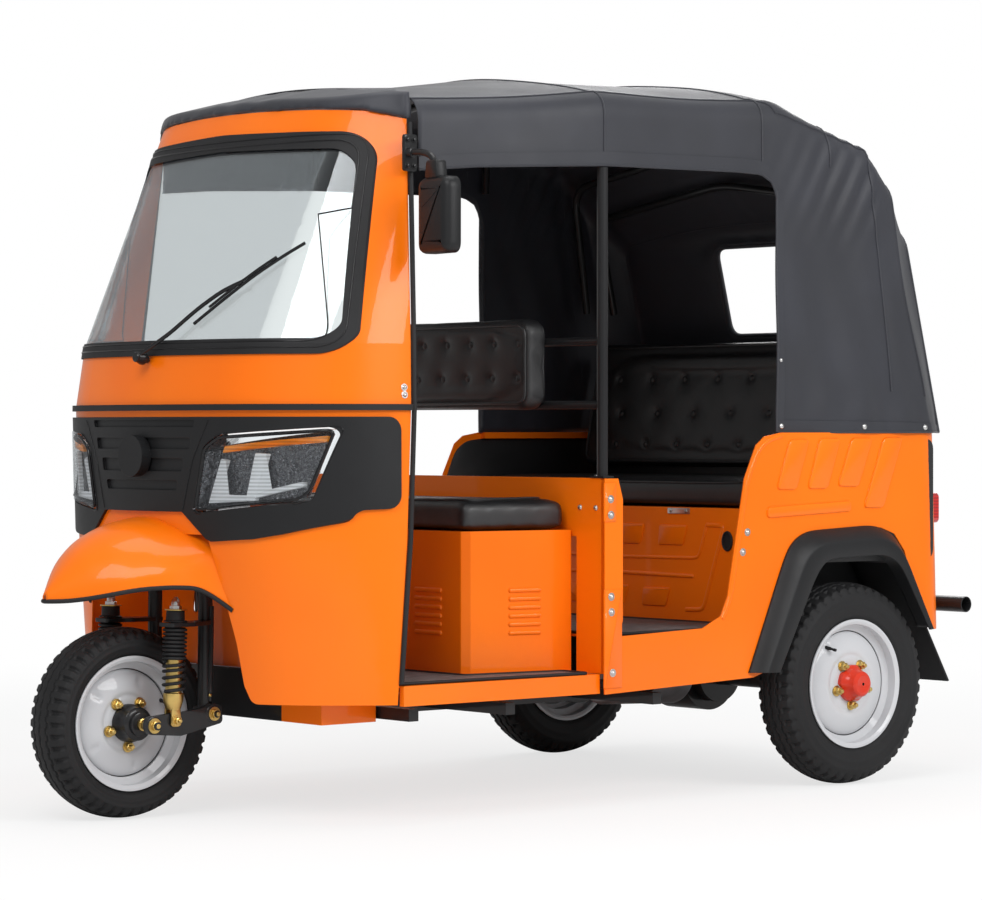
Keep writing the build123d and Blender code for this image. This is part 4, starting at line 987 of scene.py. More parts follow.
# %% Fork, links and shocks
SHOCK_FOOT, SHOCK_TOP = Vector((1.100, 0.140, 0.235)), Vector((1.090, 0.140, 0.551))
for side, label in ((1, "left"), (-1, "right")):
    foot = Vector((SHOCK_FOOT.x, side * SHOCK_FOOT.y, SHOCK_FOOT.z))
    way = Vector((SHOCK_TOP.x, side * SHOCK_TOP.y, SHOCK_TOP.z)) - foot
    gold = Shape().lathe([(0.006, 0.034), (0.018, 0.036), (0.021, 0.046), (0.0245, 0.058), (0.0255, 0.076),
                          (0.0205, 0.078), (0.0205, 0.160), (0.006, 0.161)], foot, way, 36)
    for leg in (-0.0135, 0.0135):
        cheek = rounded([(-0.016, -0.009), (0.016, -0.009), (0.012, 0.040), (-0.012, 0.040)],
                        [0.012, 0.012, 0.004, 0.004])
        gold.slab(cheek, foot + Vector((0, leg - 0.0025, 0.004)), X_WAY * -1, Z_WAY, 0.005, 0.001)
    gold.make(f"shock_body_{label}", brass, "steering")
    spring = []
    for k in range(5 * 20 + 1):
        a = 2 * math.pi * k / 20
        h = 0.082 + 0.0165 * (k / 20) if k <= 60 else 0.1315 + 0.012 * (k - 60) / 20
        spring.append(foot + way.normalized() * h + Vector((math.cos(a), math.sin(a), 0)) * 0.0255)
    boot = [(0.006, 0.158)]
    for k in range(8):
        h = 0.158 + k * 0.0098
        boot += [(0.0235, h), (0.0295, h + 0.002), (0.0305, h + 0.0045), (0.0295, h + 0.007),
                 (0.0235, h + 0.009)]
    boot += [(0.028, 0.237), (0.006, 0.238)]
    black = Shape().tube(spring, 0.0042, 8).lathe(boot, foot, way, 40)
    bush = [(0.012, 0.236), (0.012, 0.250), (0.029, 0.2505), (0.029, 0.253), (0.0235, 0.255), (0.0225, 0.277),
            (0.020, 0.279)]
    black.lathe(bush, foot, way, 36)
    black.make(f"shock_boot_{label}", rubber, "steering")
    nuts = Shape().lathe([(0.027, 0.279), (0.027, 0.2815), (0.013, 0.282)], foot, way, 30)
    nuts.make(f"shock_washer_{label}", brass, "steering")
    dome = Shape().lathe([(0.0145, 0.2815), (0.0145, 0.290), (0.010, 0.2905)], foot, way, 6)
    dome.lathe([(0.0105, 0.290), (0.0105, 0.299), (0.0085, 0.306), (0.0045, 0.311), (0.0008, 0.312)], foot,
               way, 20)
    dome.make(f"shock_nut_{label}", zinc, "steering")
    bolts = Shape()
    for x, z, y, r in ((1.160, 0.235, 0.149, 0.0125), (0.981, 0.255, 0.149, 0.0115),
                       (1.100, 0.245, 0.1565, 0.0095)):
        bolts.bolt((x, side * y, z), (0, side, 0), r, 0.012)
        bolts.lathe([(r * 0.55, 0.010), (r * 0.5, 0.018), (r * 0.4, 0.019)], (x, side * y, z), (0, side, 0),
                    14)
    spacer = [(0.0155, 0.0), (0.0155, 0.006), (0.0125, 0.007), (0.0125, 0.026), (0.015, 0.027),
              (0.015, 0.0335)]
    bolts.lathe(spacer, (1.160, side * 0.098, 0.235), (0, side, 0), 24)
    bolts.rivet((0.981, side * 0.131, 0.300), (0, side, 0), 0.005, 0.004)
    bolts.make(f"link_bolts_{label}", brass, "steering")
    eye = Shape().lathe([(0.024, 0.0), (0.0245, 0.004), (0.0245, 0.016), (0.0225, 0.018), (0.016, 0.0185)],
                        (0.981, side * 0.131, 0.255), (0, side, 0), 36)
    eye.lathe([(0.022, -0.001), (0.0225, 0.004), (0.0225, 0.0165), (0.020, 0.0175)],
              (1.160, side * 0.1315, 0.235), (0, side, 0), 32)
    rod = [(0.979, side * 0.1275, 0.285), (0.975, side * 0.1285, 0.42), (0.973, side * 0.1275, 0.52)]
    eye.tube(soft_path(rod, 0.02), 0.0055, 8)
    eye.make(f"link_eyes_{label}", black_paint, "steering")
    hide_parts("front_shocks")
print("fork dressed")

# %% [markdown]
# ## Headlamps
# A lamp is a clear moulded lens over a dark chromed bowl, with an amber indicator strip along its top and two
# white light guides shaped like a bent L; the strip and the guides glow faintly, which is painted light. The
# bowl is a net of small facets 26 to 36 mm behind the lens, so that it glitters, with painted glints as bright
# specks in its colour, and its rim comes up to the lens. A black lip frames the lens, and a thin line on the
# mask marks where its two mouldings meet.

# %% Headlamps
# The bowl's colour is bright at the centres of small cells and dark between them: painted glints over the
# facets' bump.
bowl_finish = Finish("smoked_bowl")
facets = bowl_finish.cells(85.0)
painted_glints = bowl_finish.cells(420.0).between(0.25, 0.5)
bowl_finish = bowl_finish.done(
    Base_Color=bowl_finish.blend(painted_glints, (0.34, 0.35, 0.36), (0.10, 0.10, 0.11)),
    Metallic=0.85,
    Roughness=0.2 + facets * 0.2,
    Normal=bowl_finish.bump(facets, 0.7, 0.004),
)
AMBER_STRIP = [(0.300, 0.899), (0.307, 0.916), (0.526, 0.941), (0.524, 0.926)]
GUIDES = [
    [(0.291, 0.886), (0.307, 0.882), (0.273, 0.797), (0.380, 0.797), (0.380, 0.784), (0.247, 0.777)],
    [(0.383, 0.900), (0.410, 0.898), (0.383, 0.800), (0.481, 0.831), (0.480, 0.818), (0.356, 0.784)],
]
LENS = [(0.213, 0.756), (0.248, 0.911), (0.295, 0.940), (0.544, 0.959), (0.494, 0.786)]
GUIDE_DEPTH = 0.012


def lamp_part(outline, side, depth, thick, name, finish, round_by):
    """A piece that follows the lens, sunk behind its front by depth and thick deep."""
    front, rear = [], []
    for y, z in dense_ring(rounded(outline, round_by, 3), 0.012):
        found = front_spot("headlamps", side * min(max(y, 0.222), 0.540), min(max(z, 0.775), 0.935))
        found = front_spot("headlamps", side * y, z) or found
        x = found[0].x
        front.append(Vector((x - depth, side * y, z)))
        rear.append(Vector((x - depth - thick, side * y, z)))
    shape = Shape()
    centre = sum(front, Vector()) / len(front)
    inner = [p + (centre - p).normalized() * 0.0018 + X_WAY * 0.0012 for p in front]
    shape.grid([rear, front, inner], wrap_columns=True)
    work = bmesh.new()
    loop = [work.verts.new(p) for p in inner]
    face = work.faces.new(loop)
    made = bmesh.ops.triangulate(work, faces=[face])
    base = len(shape.verts)
    shape.verts += [tuple(v.co) for v in work.verts]
    work.verts.index_update()
    shape.faces += [tuple(base + v.index for v in f.verts) for f in made["faces"]]
    work.free()
    return shape.make(name, finish)


for side, label in ((1, "left"), (-1, "right")):
    lamp_part(AMBER_STRIP, side, 0.007, 0.010, f"amber_strip_{label}", amber, 0.003)
    for k, guide in enumerate(GUIDES):
        lamp_part(guide, side, GUIDE_DEPTH, 0.012, f"light_guide_{label}_{k + 1}", light_guide, 0.003)
    inside = inset_outline(LENS, 0.0055)
    rows = []
    corners = [Vector((y, z)) for y, z in inside]
    low_in, high_in, _, high_out, low_out = corners
    for i in range(25):
        t = i / 24
        a, b = low_in.lerp(high_in, t), low_out.lerp(high_out, t)
        row = []
        for j in range(37):
            y, z = a.lerp(b, j / 36)
            found = front_spot("headlamps", side * y, z)
            x = found[0].x if found else x
            on_rim = i in (0, 24) or j in (0, 36)
            bowl = 0.003 if on_rim else 0.026 + 0.010 * math.sin(math.pi * t) * math.sin(math.pi * j / 36)
            row.append(Vector((x - bowl, side * y, z)))
        rows.append(row)
    Shape().grid(rows).make(f"lamp_bowl_{label}", bowl_finish, smooth=0)
    lip = rounded(inset_outline(LENS, 0.0035), [0.015, 0.015, 0.020, 0.015, 0.030])
    path = on_front("headlamps", [(side * y, z) for y, z in lip], 0.0006)
    rim = Shape().tube(dense(path, 0.01, closed=True), 0.0042, 8, closed=True)
    rim.make(f"lamp_rim_{label}", gloss_black)
    groove = rounded(inset_outline(LENS, -0.006), [0.02, 0.02, 0.024, 0.02, 0.03])
    path = on_front("grille_mask", [(side * y, z) for y, z in groove], 0.0004)
    line = Shape().tube(dense(path, 0.012, closed=True), 0.0016, 6, closed=True)
    line.make(f"lamp_groove_{label}", gloss_black)
    seam = [(side * 0.267, 0.988), (side * 0.206, 0.880), (side * 0.169, 0.760)]
    seam = [(p.x, p.y) for p in soft_path([(a, b, 0) for a, b in seam], 0.01)]
    Shape().tube(on_front("grille_mask", seam, 0.0003), 0.0016, 6).make(f"mask_seam_{label}", gloss_black)
print("lamps: 2")

# %% [markdown]
# ## Mudguard
# The mudguard is a deep pressing with no flat spot on it. Eleven cross-sections give its crown, its spring
# line and its lower edge; they are interpolated smoothly along its length, each section is a circular arc
# that runs on into a flared side, and the sheet gets its thickness inwards.

# %% Mudguard
# columns: x, half width at the edge, half width at the spring, crown, spring and edge heights, millimetres
MUDGUARD_ROWS = np.array([
    (1030, 318, 262, 742, 660, 508), (1053, 290, 255, 742, 655, 534), (1075, 268, 248, 742, 648, 556),
    (1100, 246, 236, 741, 636, 574), (1168, 218, 212, 728, 612, 576), (1215, 182, 178, 711, 604, 572),
    (1247, 165, 160, 695, 596, 567), (1300, 108, 105, 657, 580, 552), (1338, 60, 59, 612, 562, 543),
    (1362, 30, 29, 580, 552, 541), (1380, 8, 7.5, 557, 548, 541),
])


def soft_columns(rows, step, passes):
    """Rows resampled along their first column and smoothed, with the ends kept."""
    x = np.arange(rows[0, 0], rows[-1, 0] + 0.1, step)
    x[-1] = rows[-1, 0]
    out = np.stack([x] + [np.interp(x, rows[:, 0], rows[:, k]) for k in range(1, rows.shape[1])], axis=1)
    for _ in range(passes):
        out[1:-1, 1:] = (out[:-2, 1:] + 2 * out[1:-1, 1:] + out[2:, 1:]) / 4
    return out


guard_rows = []
for x, foot, half, crown, spring, edge in soft_columns(MUDGUARD_ROWS, 5.0, 14):
    if x < 1036:
        continue
    arc = arc_points((half, spring), (0, crown), (-half, spring), 41)
    side_line = [(foot + (half - foot) * k / 8, edge + (spring - edge) * k / 8) for k in range(8)]
    section = np.array(side_line + arc + [(-y, z) for y, z in side_line[::-1]])
    for _ in range(3):
        section[1:-1] = (section[:-2] + 2 * section[1:-1] + section[2:]) / 4
    guard_rows.append([Vector((x, y, z)) / 1000 for y, z in section])
mudguard = Shape().grid(guard_rows).make("mudguard_shell", orange, smooth=60)
thick = mudguard.modifiers.new("sheet", "SOLIDIFY")
thick.thickness = 0.003
thick.offset = -1
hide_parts("front_mudguard")
edge = [row[0] for row in guard_rows] + [row[-1] for row in guard_rows[::-1]]
bead = [p + Vector((0, 0, -0.0015)) for p in soft_path(edge, 0.008, 3)]
Shape().tube(bead, 0.0055, 10).make("mudguard_bead", rubber)
print("mudguard sections:", len(guard_rows))

# %% [markdown]
# ## Screen seal and wiper
# The seal is an extruded rubber section with two lips, so two thin grooves run round it. The wiper is a bent
# arm that carries a thin blade and its spine; it doesn't move here.

# %% Seal and wiper
GASKET_OUTER = [(0.545, 1.145), (0.466, 1.688), (-0.466, 1.688), (-0.545, 1.145)]
for inset, radius, name in ((0.009, 0.0018, "seal_groove_outer"), (0.024, 0.0020, "seal_groove_inner")):
    ring = dense_ring(rounded(inset_outline(GASKET_OUTER, inset), 0.055, 8), 0.02)
    path = on_front("windscreen_gasket", ring, 0.0002)
    Shape().tube(path, radius, 6, closed=True).make(name, gloss_black)

pivot = Vector((1.098, 0.014, 1.132))
wiper_shape = Shape().lathe([(0.017, 0), (0.017, 0.008), (0.013, 0.018), (0.013, 0.024), (0.010, 0.027)],
                            pivot, (1, 0, 0.15), 20)
arm = on_front("windscreen_glass", [(0.090, 1.184), (0.160, 1.243), (0.225, 1.288), (0.281, 1.310)], 0.015)
arm = [pivot + Vector((0.020, 0, 0.004))] + arm
wiper_shape.tube(soft_path(arm, 0.02), [0.0052] * len(soft_path(arm, 0.02)), 8)
blade = on_front("windscreen_glass", [(0.160 + 0.242 * k / 12, 1.212 + 0.194 * k / 12) for k in range(13)],
                 0.007)
wiper_shape.tube(blade, 0.0042, 8)
spine = on_front("windscreen_glass", [(0.200 + 0.150 * k / 8, 1.250 + 0.120 * k / 8) for k in range(9)],
                 0.013)
wiper_shape.tube(spine, 0.0035, 8)
wiper_shape.make("wiper_arm", gloss_black)
print("seal and wiper made")

# %% [markdown]
# ## Upholstery
# A cushion is foam pressed into a sewn cover: full between the seams, drawn in where a button is tied
# through. Each one starts as the solid made a little smaller and remeshed into even cells. The buttons press
# dents that stay pinned, then a cloth solver blows the cover up with air pressure and no gravity. How far a
# point may move is capped, so that the cushion keeps its size; one subdivision smooths the result. Piping and
# buttons are laid on the finished surface by ray cast, so they sit in it.

# %% Cushion maker
AIR_PRESSURE = 4.0
PUFF_FRAMES = 20


def even_copy(node, name, voxel, passes, shrink=0.0):
    """A solid as even cells with soft edges, first made smaller by shrink all round."""
    source = nodes[node]
    mesh = source.data.copy()
    mesh.name = name
    mesh.transform(source.matrix_world)
    if shrink:
        points = np.array([v.co for v in mesh.vertices])
        middle = (points.min(axis=0) + points.max(axis=0)) / 2
        half = (points.max(axis=0) - points.min(axis=0)) / 2
        for vertex in mesh.vertices:
            vertex.co = Vector([m + (c - m) * (1 - shrink / h) for c, m, h in zip(vertex.co, middle, half)])
    obj = bpy.data.objects.new(name, mesh)
    scene.collection.objects.link(obj)
    remesh = obj.modifiers.new("even", "REMESH")
    remesh.mode = "VOXEL"
    remesh.voxel_size = voxel
    soft = obj.modifiers.new("soft", "SMOOTH")
    soft.factor, soft.iterations = 0.5, passes
    bake(obj)
    return obj


def dress(obj, finish, node):
    """Finish a padded piece and let it stand for its solid."""
    obj.data.materials.clear()
    obj.data.materials.append(finish)
    obj.data.shade_smooth()
    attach(obj, "root")
    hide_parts(node)


def puff(node, name, voxel, shrink, ties, most):
    """A blown-up copy of a solid cushion; ties are (place, outward way) of buttons."""
    obj = even_copy(node, name, voxel, 8, shrink)
    start = np.array([v.co for v in obj.data.vertices])
    normals = np.array([v.normal for v in obj.data.vertices])
    pinned = np.zeros(len(start), dtype=bool)
    for place, way in ties:
        place, way = np.array(place), np.array(Vector(way).normalized())
        offset = start - place
        along = offset @ way
        sideways = np.linalg.norm(offset - np.outer(along, way), axis=1)
        near = (normals @ way > 0.2) & (np.abs(along) < 0.04)
        dent = 0.0035 * np.exp(-(sideways / 0.026) ** 2) + 0.0065 * np.exp(-(sideways / 0.012) ** 2)
        start[near] -= np.outer(dent[near], way)
        pinned |= near & (sideways < 0.013)
    for vertex, place in zip(obj.data.vertices, start):
        vertex.co = place
    group = obj.vertex_groups.new(name="tied")
    group.add([int(i) for i in np.nonzero(pinned)[0]], 1.0, "REPLACE")
    cloth = obj.modifiers.new("cover", "CLOTH")
    cloth.settings.quality = 5
    cloth.settings.mass = 0.3
    cloth.settings.use_pressure = True
    cloth.settings.uniform_pressure_force = AIR_PRESSURE
    cloth.settings.tension_stiffness = cloth.settings.compression_stiffness = 18.0
    cloth.settings.bending_stiffness = 4.0
    cloth.settings.vertex_group_mass = "tied"
    cloth.settings.effector_weights.gravity = 0.0
    cloth.collision_settings.use_collision = False
    cloth.point_cache.frame_start, cloth.point_cache.frame_end = 1, PUFF_FRAMES
    for count in range(1, PUFF_FRAMES + 1):
        scene.frame_set(count)
    bake(obj)
    scene.frame_set(1)
    moved = np.array([v.co for v in obj.data.vertices]) - start
    length = np.linalg.norm(moved, axis=1)
    share = np.minimum(1.0, most / np.maximum(length, 1e-9))
    for vertex, place in zip(obj.data.vertices, start + moved * share[:, None]):
        vertex.co = place
    finer = obj.modifiers.new("finer", "SUBSURF")
    finer.levels = finer.render_levels = 1
    bake(obj)
    dress(obj, leather, node)
    print(name, len(obj.data.polygons), "faces, largest move", round(float(length.max()) * 1000, 1), "mm")
    return obj


def bake(obj):
    """Turn the modifiers into plain mesh."""
    graph = bpy.context.evaluated_depsgraph_get()
    mesh = bpy.data.meshes.new_from_object(obj.evaluated_get(graph))
    obj.modifiers.clear()
    obj.data = mesh


def laid(obj, points, way, lift):
    """Points dropped onto an object along way, lifted back off it by lift."""
    tree = BVHTree.FromObject(obj, bpy.context.evaluated_depsgraph_get())
    way, out = Vector(way).normalized(), []
    for point in points:
        place = tree.ray_cast(Vector(point) - way * 0.15, way, 0.4)[0]
        if place is not None:
            out.append((place - way * lift, -way))
    return out


def buttons_on(obj, ties, name):
    shape = Shape()
    for place, way in ties:
        for spot, out in laid(obj, [place], -Vector(way), -0.0015):
            shape.rivet(spot, out, 0.0115, 0.0055)
    return shape.make(name, leather)


def piping(obj, loops, name, radius=0.0038):
    shape = Shape()
    for points, way, closed in loops:
        path = [spot for spot, _ in laid(obj, points, way, radius * 0.25)]
        shape.tube(path, radius, 8, closed=closed)
    return shape.make(name, leather)


def frame_loop(low, high, radius, place, step=0.012):
    """A rounded rectangle; place turns its (a, b) into a point."""
    corners = [(low[0], low[1]), (high[0], low[1]), (high[0], high[1]), (low[0], high[1])]
    return [Vector(place(a, b)) for a, b in dense_ring(rounded(corners, radius, 6), step)]


# %% [markdown]
# ## The four cushions
# The driver sits on a pad on the seat box, with a low tufted back that runs the width of the cab. Passengers
# have a wide pad and a tall tufted back. Every cover has a corded seam near its edges, and the buttons sit in
# a diamond pattern: each row is shifted half a pitch from the next.

# %% Make the cushions
UPPER_BUTTONS = (0.352, 0.257, 0.162, 0.067, -0.028, -0.123, -0.218, -0.313)
LOWER_BUTTONS = (0.350, 0.250, 0.149, 0.048, -0.053, -0.154, -0.255, -0.350)
back_ties = [((0.176, y, 1.177), X_WAY) for y in UPPER_BUTTONS]
back_ties += [((0.176, y, 1.088), X_WAY) for y in LOWER_BUTTONS]
BENCH_LEAN = math.radians(12)
BENCH_FACE_FOOT = Vector((-0.8434, 0, 0.8469))
bench_way = Vector((math.cos(BENCH_LEAN), 0, math.sin(BENCH_LEAN)))
bench_up = Vector((-math.sin(BENCH_LEAN), 0, math.cos(BENCH_LEAN)))
bench_ties = []
for x, z, pitch, first in ((-0.901, 1.104, 0.137, 0.120), (-0.880, 1.005, 0.152, 0.054),
                           (-0.861, 0.916, 0.128, 0.104)):
    places = [first + pitch * k for k in range(-4, 5)]
    bench_ties += [((x, y, z), bench_way) for y in places if abs(y) < 0.50]

driver_back = puff("seat_backrest", "driver_back", 0.0075, 0.005, back_ties, 0.006)
driver_pad = puff("seat_cushion", "driver_pad", 0.0095, 0.006, [], 0.007)
bench_pad = puff("bench_cushion", "bench_pad", 0.0115, 0.007, [], 0.008)
bench_back = puff("bench_backrest", "bench_back", 0.0100, 0.007, bench_ties, 0.008)

buttons_on(driver_back, back_ties, "driver_back_buttons")
buttons_on(bench_back, bench_ties, "bench_back_buttons")
front_loop = frame_loop((-0.376, 1.024), (0.376, 1.224), 0.03, lambda y, z: (0.176, y, z))
rear_loop = frame_loop((-0.380, 1.020), (0.380, 1.228), 0.03, lambda y, z: (0.106, y, z))
piping(driver_back, [(front_loop, (-1, 0, 0), True), (rear_loop, (1, 0, 0), True)], "driver_back_piping")
pad_loop = frame_loop((0.150, -0.430), (0.398, 0.430), 0.03, lambda x, y: (x, y, 0.779))
piping(driver_pad, [(pad_loop, (0, 0, -1), True)], "driver_pad_piping")
pad_loop = frame_loop((-0.960, -0.535), (-0.492, 0.535), 0.04, lambda x, y: (x, y, 0.827))
piping(bench_pad, [(pad_loop, (0, 0, -1), True)], "bench_pad_piping")


def on_bench(y, up):
    return BENCH_FACE_FOOT + Y_WAY * y + bench_up * up


bench_loop = frame_loop((-0.535, 0.022), (0.535, 0.360), 0.04, on_bench)
piping(bench_back, [(bench_loop, -bench_way, True)], "bench_back_piping")

# %% [markdown]
# ## Roof visor
# The visor over the screen is a padded roll under the same canvas as the hood. It is the solid again,
# remeshed and smoothed until its edges are round, with a slight ripple along its length.

# %% Roof visor
visor = even_copy("roof_visor", "visor_roll", 0.007, 14)
fold = np.array([v.co for v in visor.data.vertices])
ripple = 0.0012 * np.sin(fold[:, 1] * 37.0 + np.sin(fold[:, 1] * 11.0) * 2.0)
for vertex, move in zip(visor.data.vertices, ripple):
    vertex.co += vertex.normal * float(move)
dress(visor, canvas, "roof_visor")
print("visor:", len(visor.data.polygons), "faces")

# %% [markdown]
# ## Pressings and bolts on the body
# Flat sheet rattles, so the maker presses ridges and raised panels into it. `ridge` lays a half-round bead
# along a path, and `raised` lays a flat-topped panel with a sloped rim. The driver's seat box has louvres for
# the parts inside it. Zinc bolts hold the posts, the tub and the cab edge, and all of them are one piece.

# %% Pressings
def ridge(shape, path, out, width, height):
    """A half-round bead along a path on a surface that faces out."""
    path, out, rows = [Vector(p) for p in path], Vector(out).normalized(), []
    path = [path[0] + (path[0] - path[1]).normalized() * width * 0.3] + path
    path.append(path[-1] + (path[-1] - path[-2]).normalized() * width * 0.3)
    for i, point in enumerate(path):
        way = (path[min(i + 1, len(path) - 1)] - path[max(i - 1, 0)]).normalized()
        side = way.cross(out).normalized()
        size = 0.25 if i in (0, len(path) - 1) else 1.0
        row = []
        for k in range(9):
            a = math.pi * k / 8
            rise = out * (math.sin(a) * height * size - 0.0008)
            row.append(point + side * math.cos(a) * width / 2 * size + rise)
        rows.append(row)
    shape.grid(rows, caps=True)


def raised(shape, outline, side, radius=0.016, height=0.0060, y=0.620):
    """A raised panel of (x, z) points on a side wall."""
    right = X_WAY * -side
    ring = rounded([(-side * x, z) for x, z in outline], radius, 5)
    shape.slab(ring, (0, side * y, 0), right, Z_WAY, height, height, 0.001)


PANELS = [
    [(-0.503, 0.797), (-0.552, 0.930), (-0.627, 0.930), (-0.577, 0.795)],
    [(-0.620, 0.797), (-0.666, 0.933), (-0.746, 0.933), (-0.696, 0.797)],
    [(-0.735, 0.803), (-0.789, 0.934), (-0.871, 0.934), (-0.815, 0.801)],
    [(-0.836, 0.744), (-0.914, 0.935), (-0.990, 0.935), (-0.912, 0.742)],
    [(-0.468, 0.722), (-0.468, 0.752), (-0.787, 0.765), (-0.787, 0.735)],
]
PAD_HEIGHT = 0.003
PADS = [[(0.070, 0.722), (0.070, 0.822), (0.112, 0.822), (0.112, 0.722)],
        [(0.050, 0.300), (0.050, 0.551), (0.112, 0.551), (0.112, 0.300)]]
pressings = Shape()
for side in (1, -1):
    for outline in PANELS:
        raised(pressings, outline, side)
    for outline in PADS:
        raised(pressings, outline, side, radius=0.003, height=PAD_HEIGHT)
    lip = [(-0.300, 0.470), (-0.329, 0.520), (-0.390, 0.822), (-0.430, 0.908), (-0.466, 0.934),
           (-0.520, 0.946)]
    path = soft_path([(x - 0.006, side * 0.620, z - 0.006) for x, z in lip], 0.02)
    ridge(pressings, path, (0, side, 0), 0.012, 0.004)
    for k in range(6):
        z = 0.4425 + 0.0215 * k
        ridge(pressings, [(0.430, side * 0.259, z), (0.430, side * 0.361, z)], (1, 0, 0), 0.013, 0.0055)
        ends = [side_spot("seat_box", x, z, side) for x in (0.209, 0.299)]
        ridge(pressings, [spot[0] for spot in ends], ends[0][1], 0.013, 0.0055)
pressings.make("body_pressings", orange, smooth=30)

BENCH_X = front_spot("bench_base", 0.2, 0.60)[0].x
print("bench front at", round(BENCH_X, 4))
bench_shape = Shape()
for side in (1, -1):
    for low_y, high_y, low_z, high_z in ((0.010, 0.124, 0.641, 0.697), (0.180, 0.296, 0.641, 0.697),
                                         (0.010, 0.060, 0.473, 0.527), (0.115, 0.228, 0.473, 0.525)):
        slope = 0.018
        ring = [(side * low_y, low_z), (side * (high_y - slope), low_z), (side * high_y, high_z),
                (side * (low_y + slope * 0.3), high_z)]
        bench_shape.slab(rounded(ring, 0.008, 4), (BENCH_X, 0, 0), Y_WAY, Z_WAY, 0.005, 0.005, 0.001)
    channel = [(0.369, 0.699), (0.436, 0.699), (0.356, 0.470), (0.289, 0.468)]
    ridge(bench_shape, soft_path([(BENCH_X, side * y, z) for y, z in channel], 0.012), (1, 0, 0), 0.013,
          0.005)
    line = [(0.369, 0.699), (0.338, 0.609), (0.020, 0.605)]
    ridge(bench_shape, soft_path([(BENCH_X, side * y, z) for y, z in line], 0.012), (1, 0, 0), 0.010, 0.004)
    ridge(bench_shape, [(BENCH_X, side * 0.018, 0.562), (BENCH_X, side * 0.316, 0.559)], (1, 0, 0), 0.012,
          0.005)
bench_shape.make("bench_front_pressings", orange, smooth=30)
plate = Shape().slab(rounded([(0.218, 0.727), (0.304, 0.727), (0.304, 0.743), (0.218, 0.743)], 0.003),
                     (BENCH_X, 0, 0), Y_WAY, Z_WAY, 0.003, 0.001, 0.001)
for y in (0.231, 0.291):
    plate.rivet((BENCH_X + 0.003, y, 0.735), (1, 0, 0), 0.005, 0.003)
plate.make("bench_latch_plate", zinc)
for side, label in ((1, "left"), (-1, "right")):
    grommet = Shape()
    ring = [Vector((BENCH_X + 0.002, side * (0.450 + 0.017 * math.cos(a)), 0.657 + 0.024 * math.sin(a)))
            for a in np.linspace(0, 2 * math.pi, 33)[:-1]]
    grommet.tube(ring, 0.0035, 8, closed=True)
    grommet.grid([ring, [Vector((BENCH_X + 0.0015, side * 0.450, 0.657))] * len(ring)], wrap_columns=True)
    grommet.make(f"grommet_{label}", rubber)

# columns: node, x, z of bolts on a side wall; head radius in millimetres
SIDE_BOLTS = [
    ("rear_body", [(0.091, 0.780), (0.090, 0.740), (0.089, 0.533), (0.088, 0.494), (0.084, 0.340)], 7.0),
    ("rear_body", [(-0.397, 0.687), (-0.380, 0.635)], 7.0),
    ("cab_surround", [(0.732, 1.058), (0.732, 1.040), (0.731, 0.984)], 6.0),
]
bolts = Shape()
count = 0
for side in (1, -1):
    for node, spots, radius in SIDE_BOLTS:
        for x, z in spots:
            found = side_spot(node, x, z, side)
            if found:
                place, out = found
                lift = PAD_HEIGHT if 0.05 < x < 0.12 else 0.0
                bolts.lathe([(radius * 0.0015, 0), (radius * 0.0015, 0.0012)], place + out * lift, out, 18)
                bolts.rivet(place + out * (lift + 0.001), out, radius / 1000, 0.0055)
                count += 1
for y, z in ((0.523, 0.758), (0.583, 0.757), (-0.523, 0.758), (-0.583, 0.757)):
    found = front_spot("partition", y, z)
    if found:
        bolts.rivet(found[0], found[1], 0.0075, 0.0055)
        count += 1
for x in (0.066, 0.098):
    for side in (1, -1):
        bolts.rivet((x, side * 0.578, 0.836), (0, 0, 1), 0.007, 0.006)
bolts.make("body_bolts", zinc)
print("body bolts:", count)

# %% [markdown]
# ## Wheel arch flares
# A flare is a moulded plastic strip. From the body it slopes out to a soft crest, runs flat to the opening
# and turns in again behind the edge. Two outlines give its outer and inner edge; both are rounded at their
# corners and cut into the same number of steps, and each step carries one cross-section.

# %% Flares
FLARE_OUTER = [(-0.400, 0.318), (-0.515, 0.577), (-0.553, 0.656), (-0.610, 0.686), (-0.876, 0.698),
               (-0.948, 0.674), (-0.987, 0.627), (-1.100, 0.405)]
FLARE_INNER = [(-0.486, 0.317), (-0.621, 0.566), (-0.659, 0.611), (-0.896, 0.618), (-0.948, 0.592),
               (-1.060, 0.414)]


def even_points(points, count):
    """Count points at equal steps along a smoothed polyline."""
    path = soft_path([(a, b, 0) for a, b in points], 0.012, 10)
    run = [0.0]
    for a, b in zip(path, path[1:]):
        run.append(run[-1] + (b - a).length)
    want = np.linspace(0, run[-1], count)
    return list(zip(np.interp(want, run, [p.x for p in path]), np.interp(want, run, [p.y for p in path])))


outer, inner = even_points(FLARE_OUTER, 90), even_points(FLARE_INNER, 90)
ARCH_CENTRE = Vector((-0.775, 0.30))
GUARD_GAP = 0.014
GUARD_FOOT_Z = 0.45
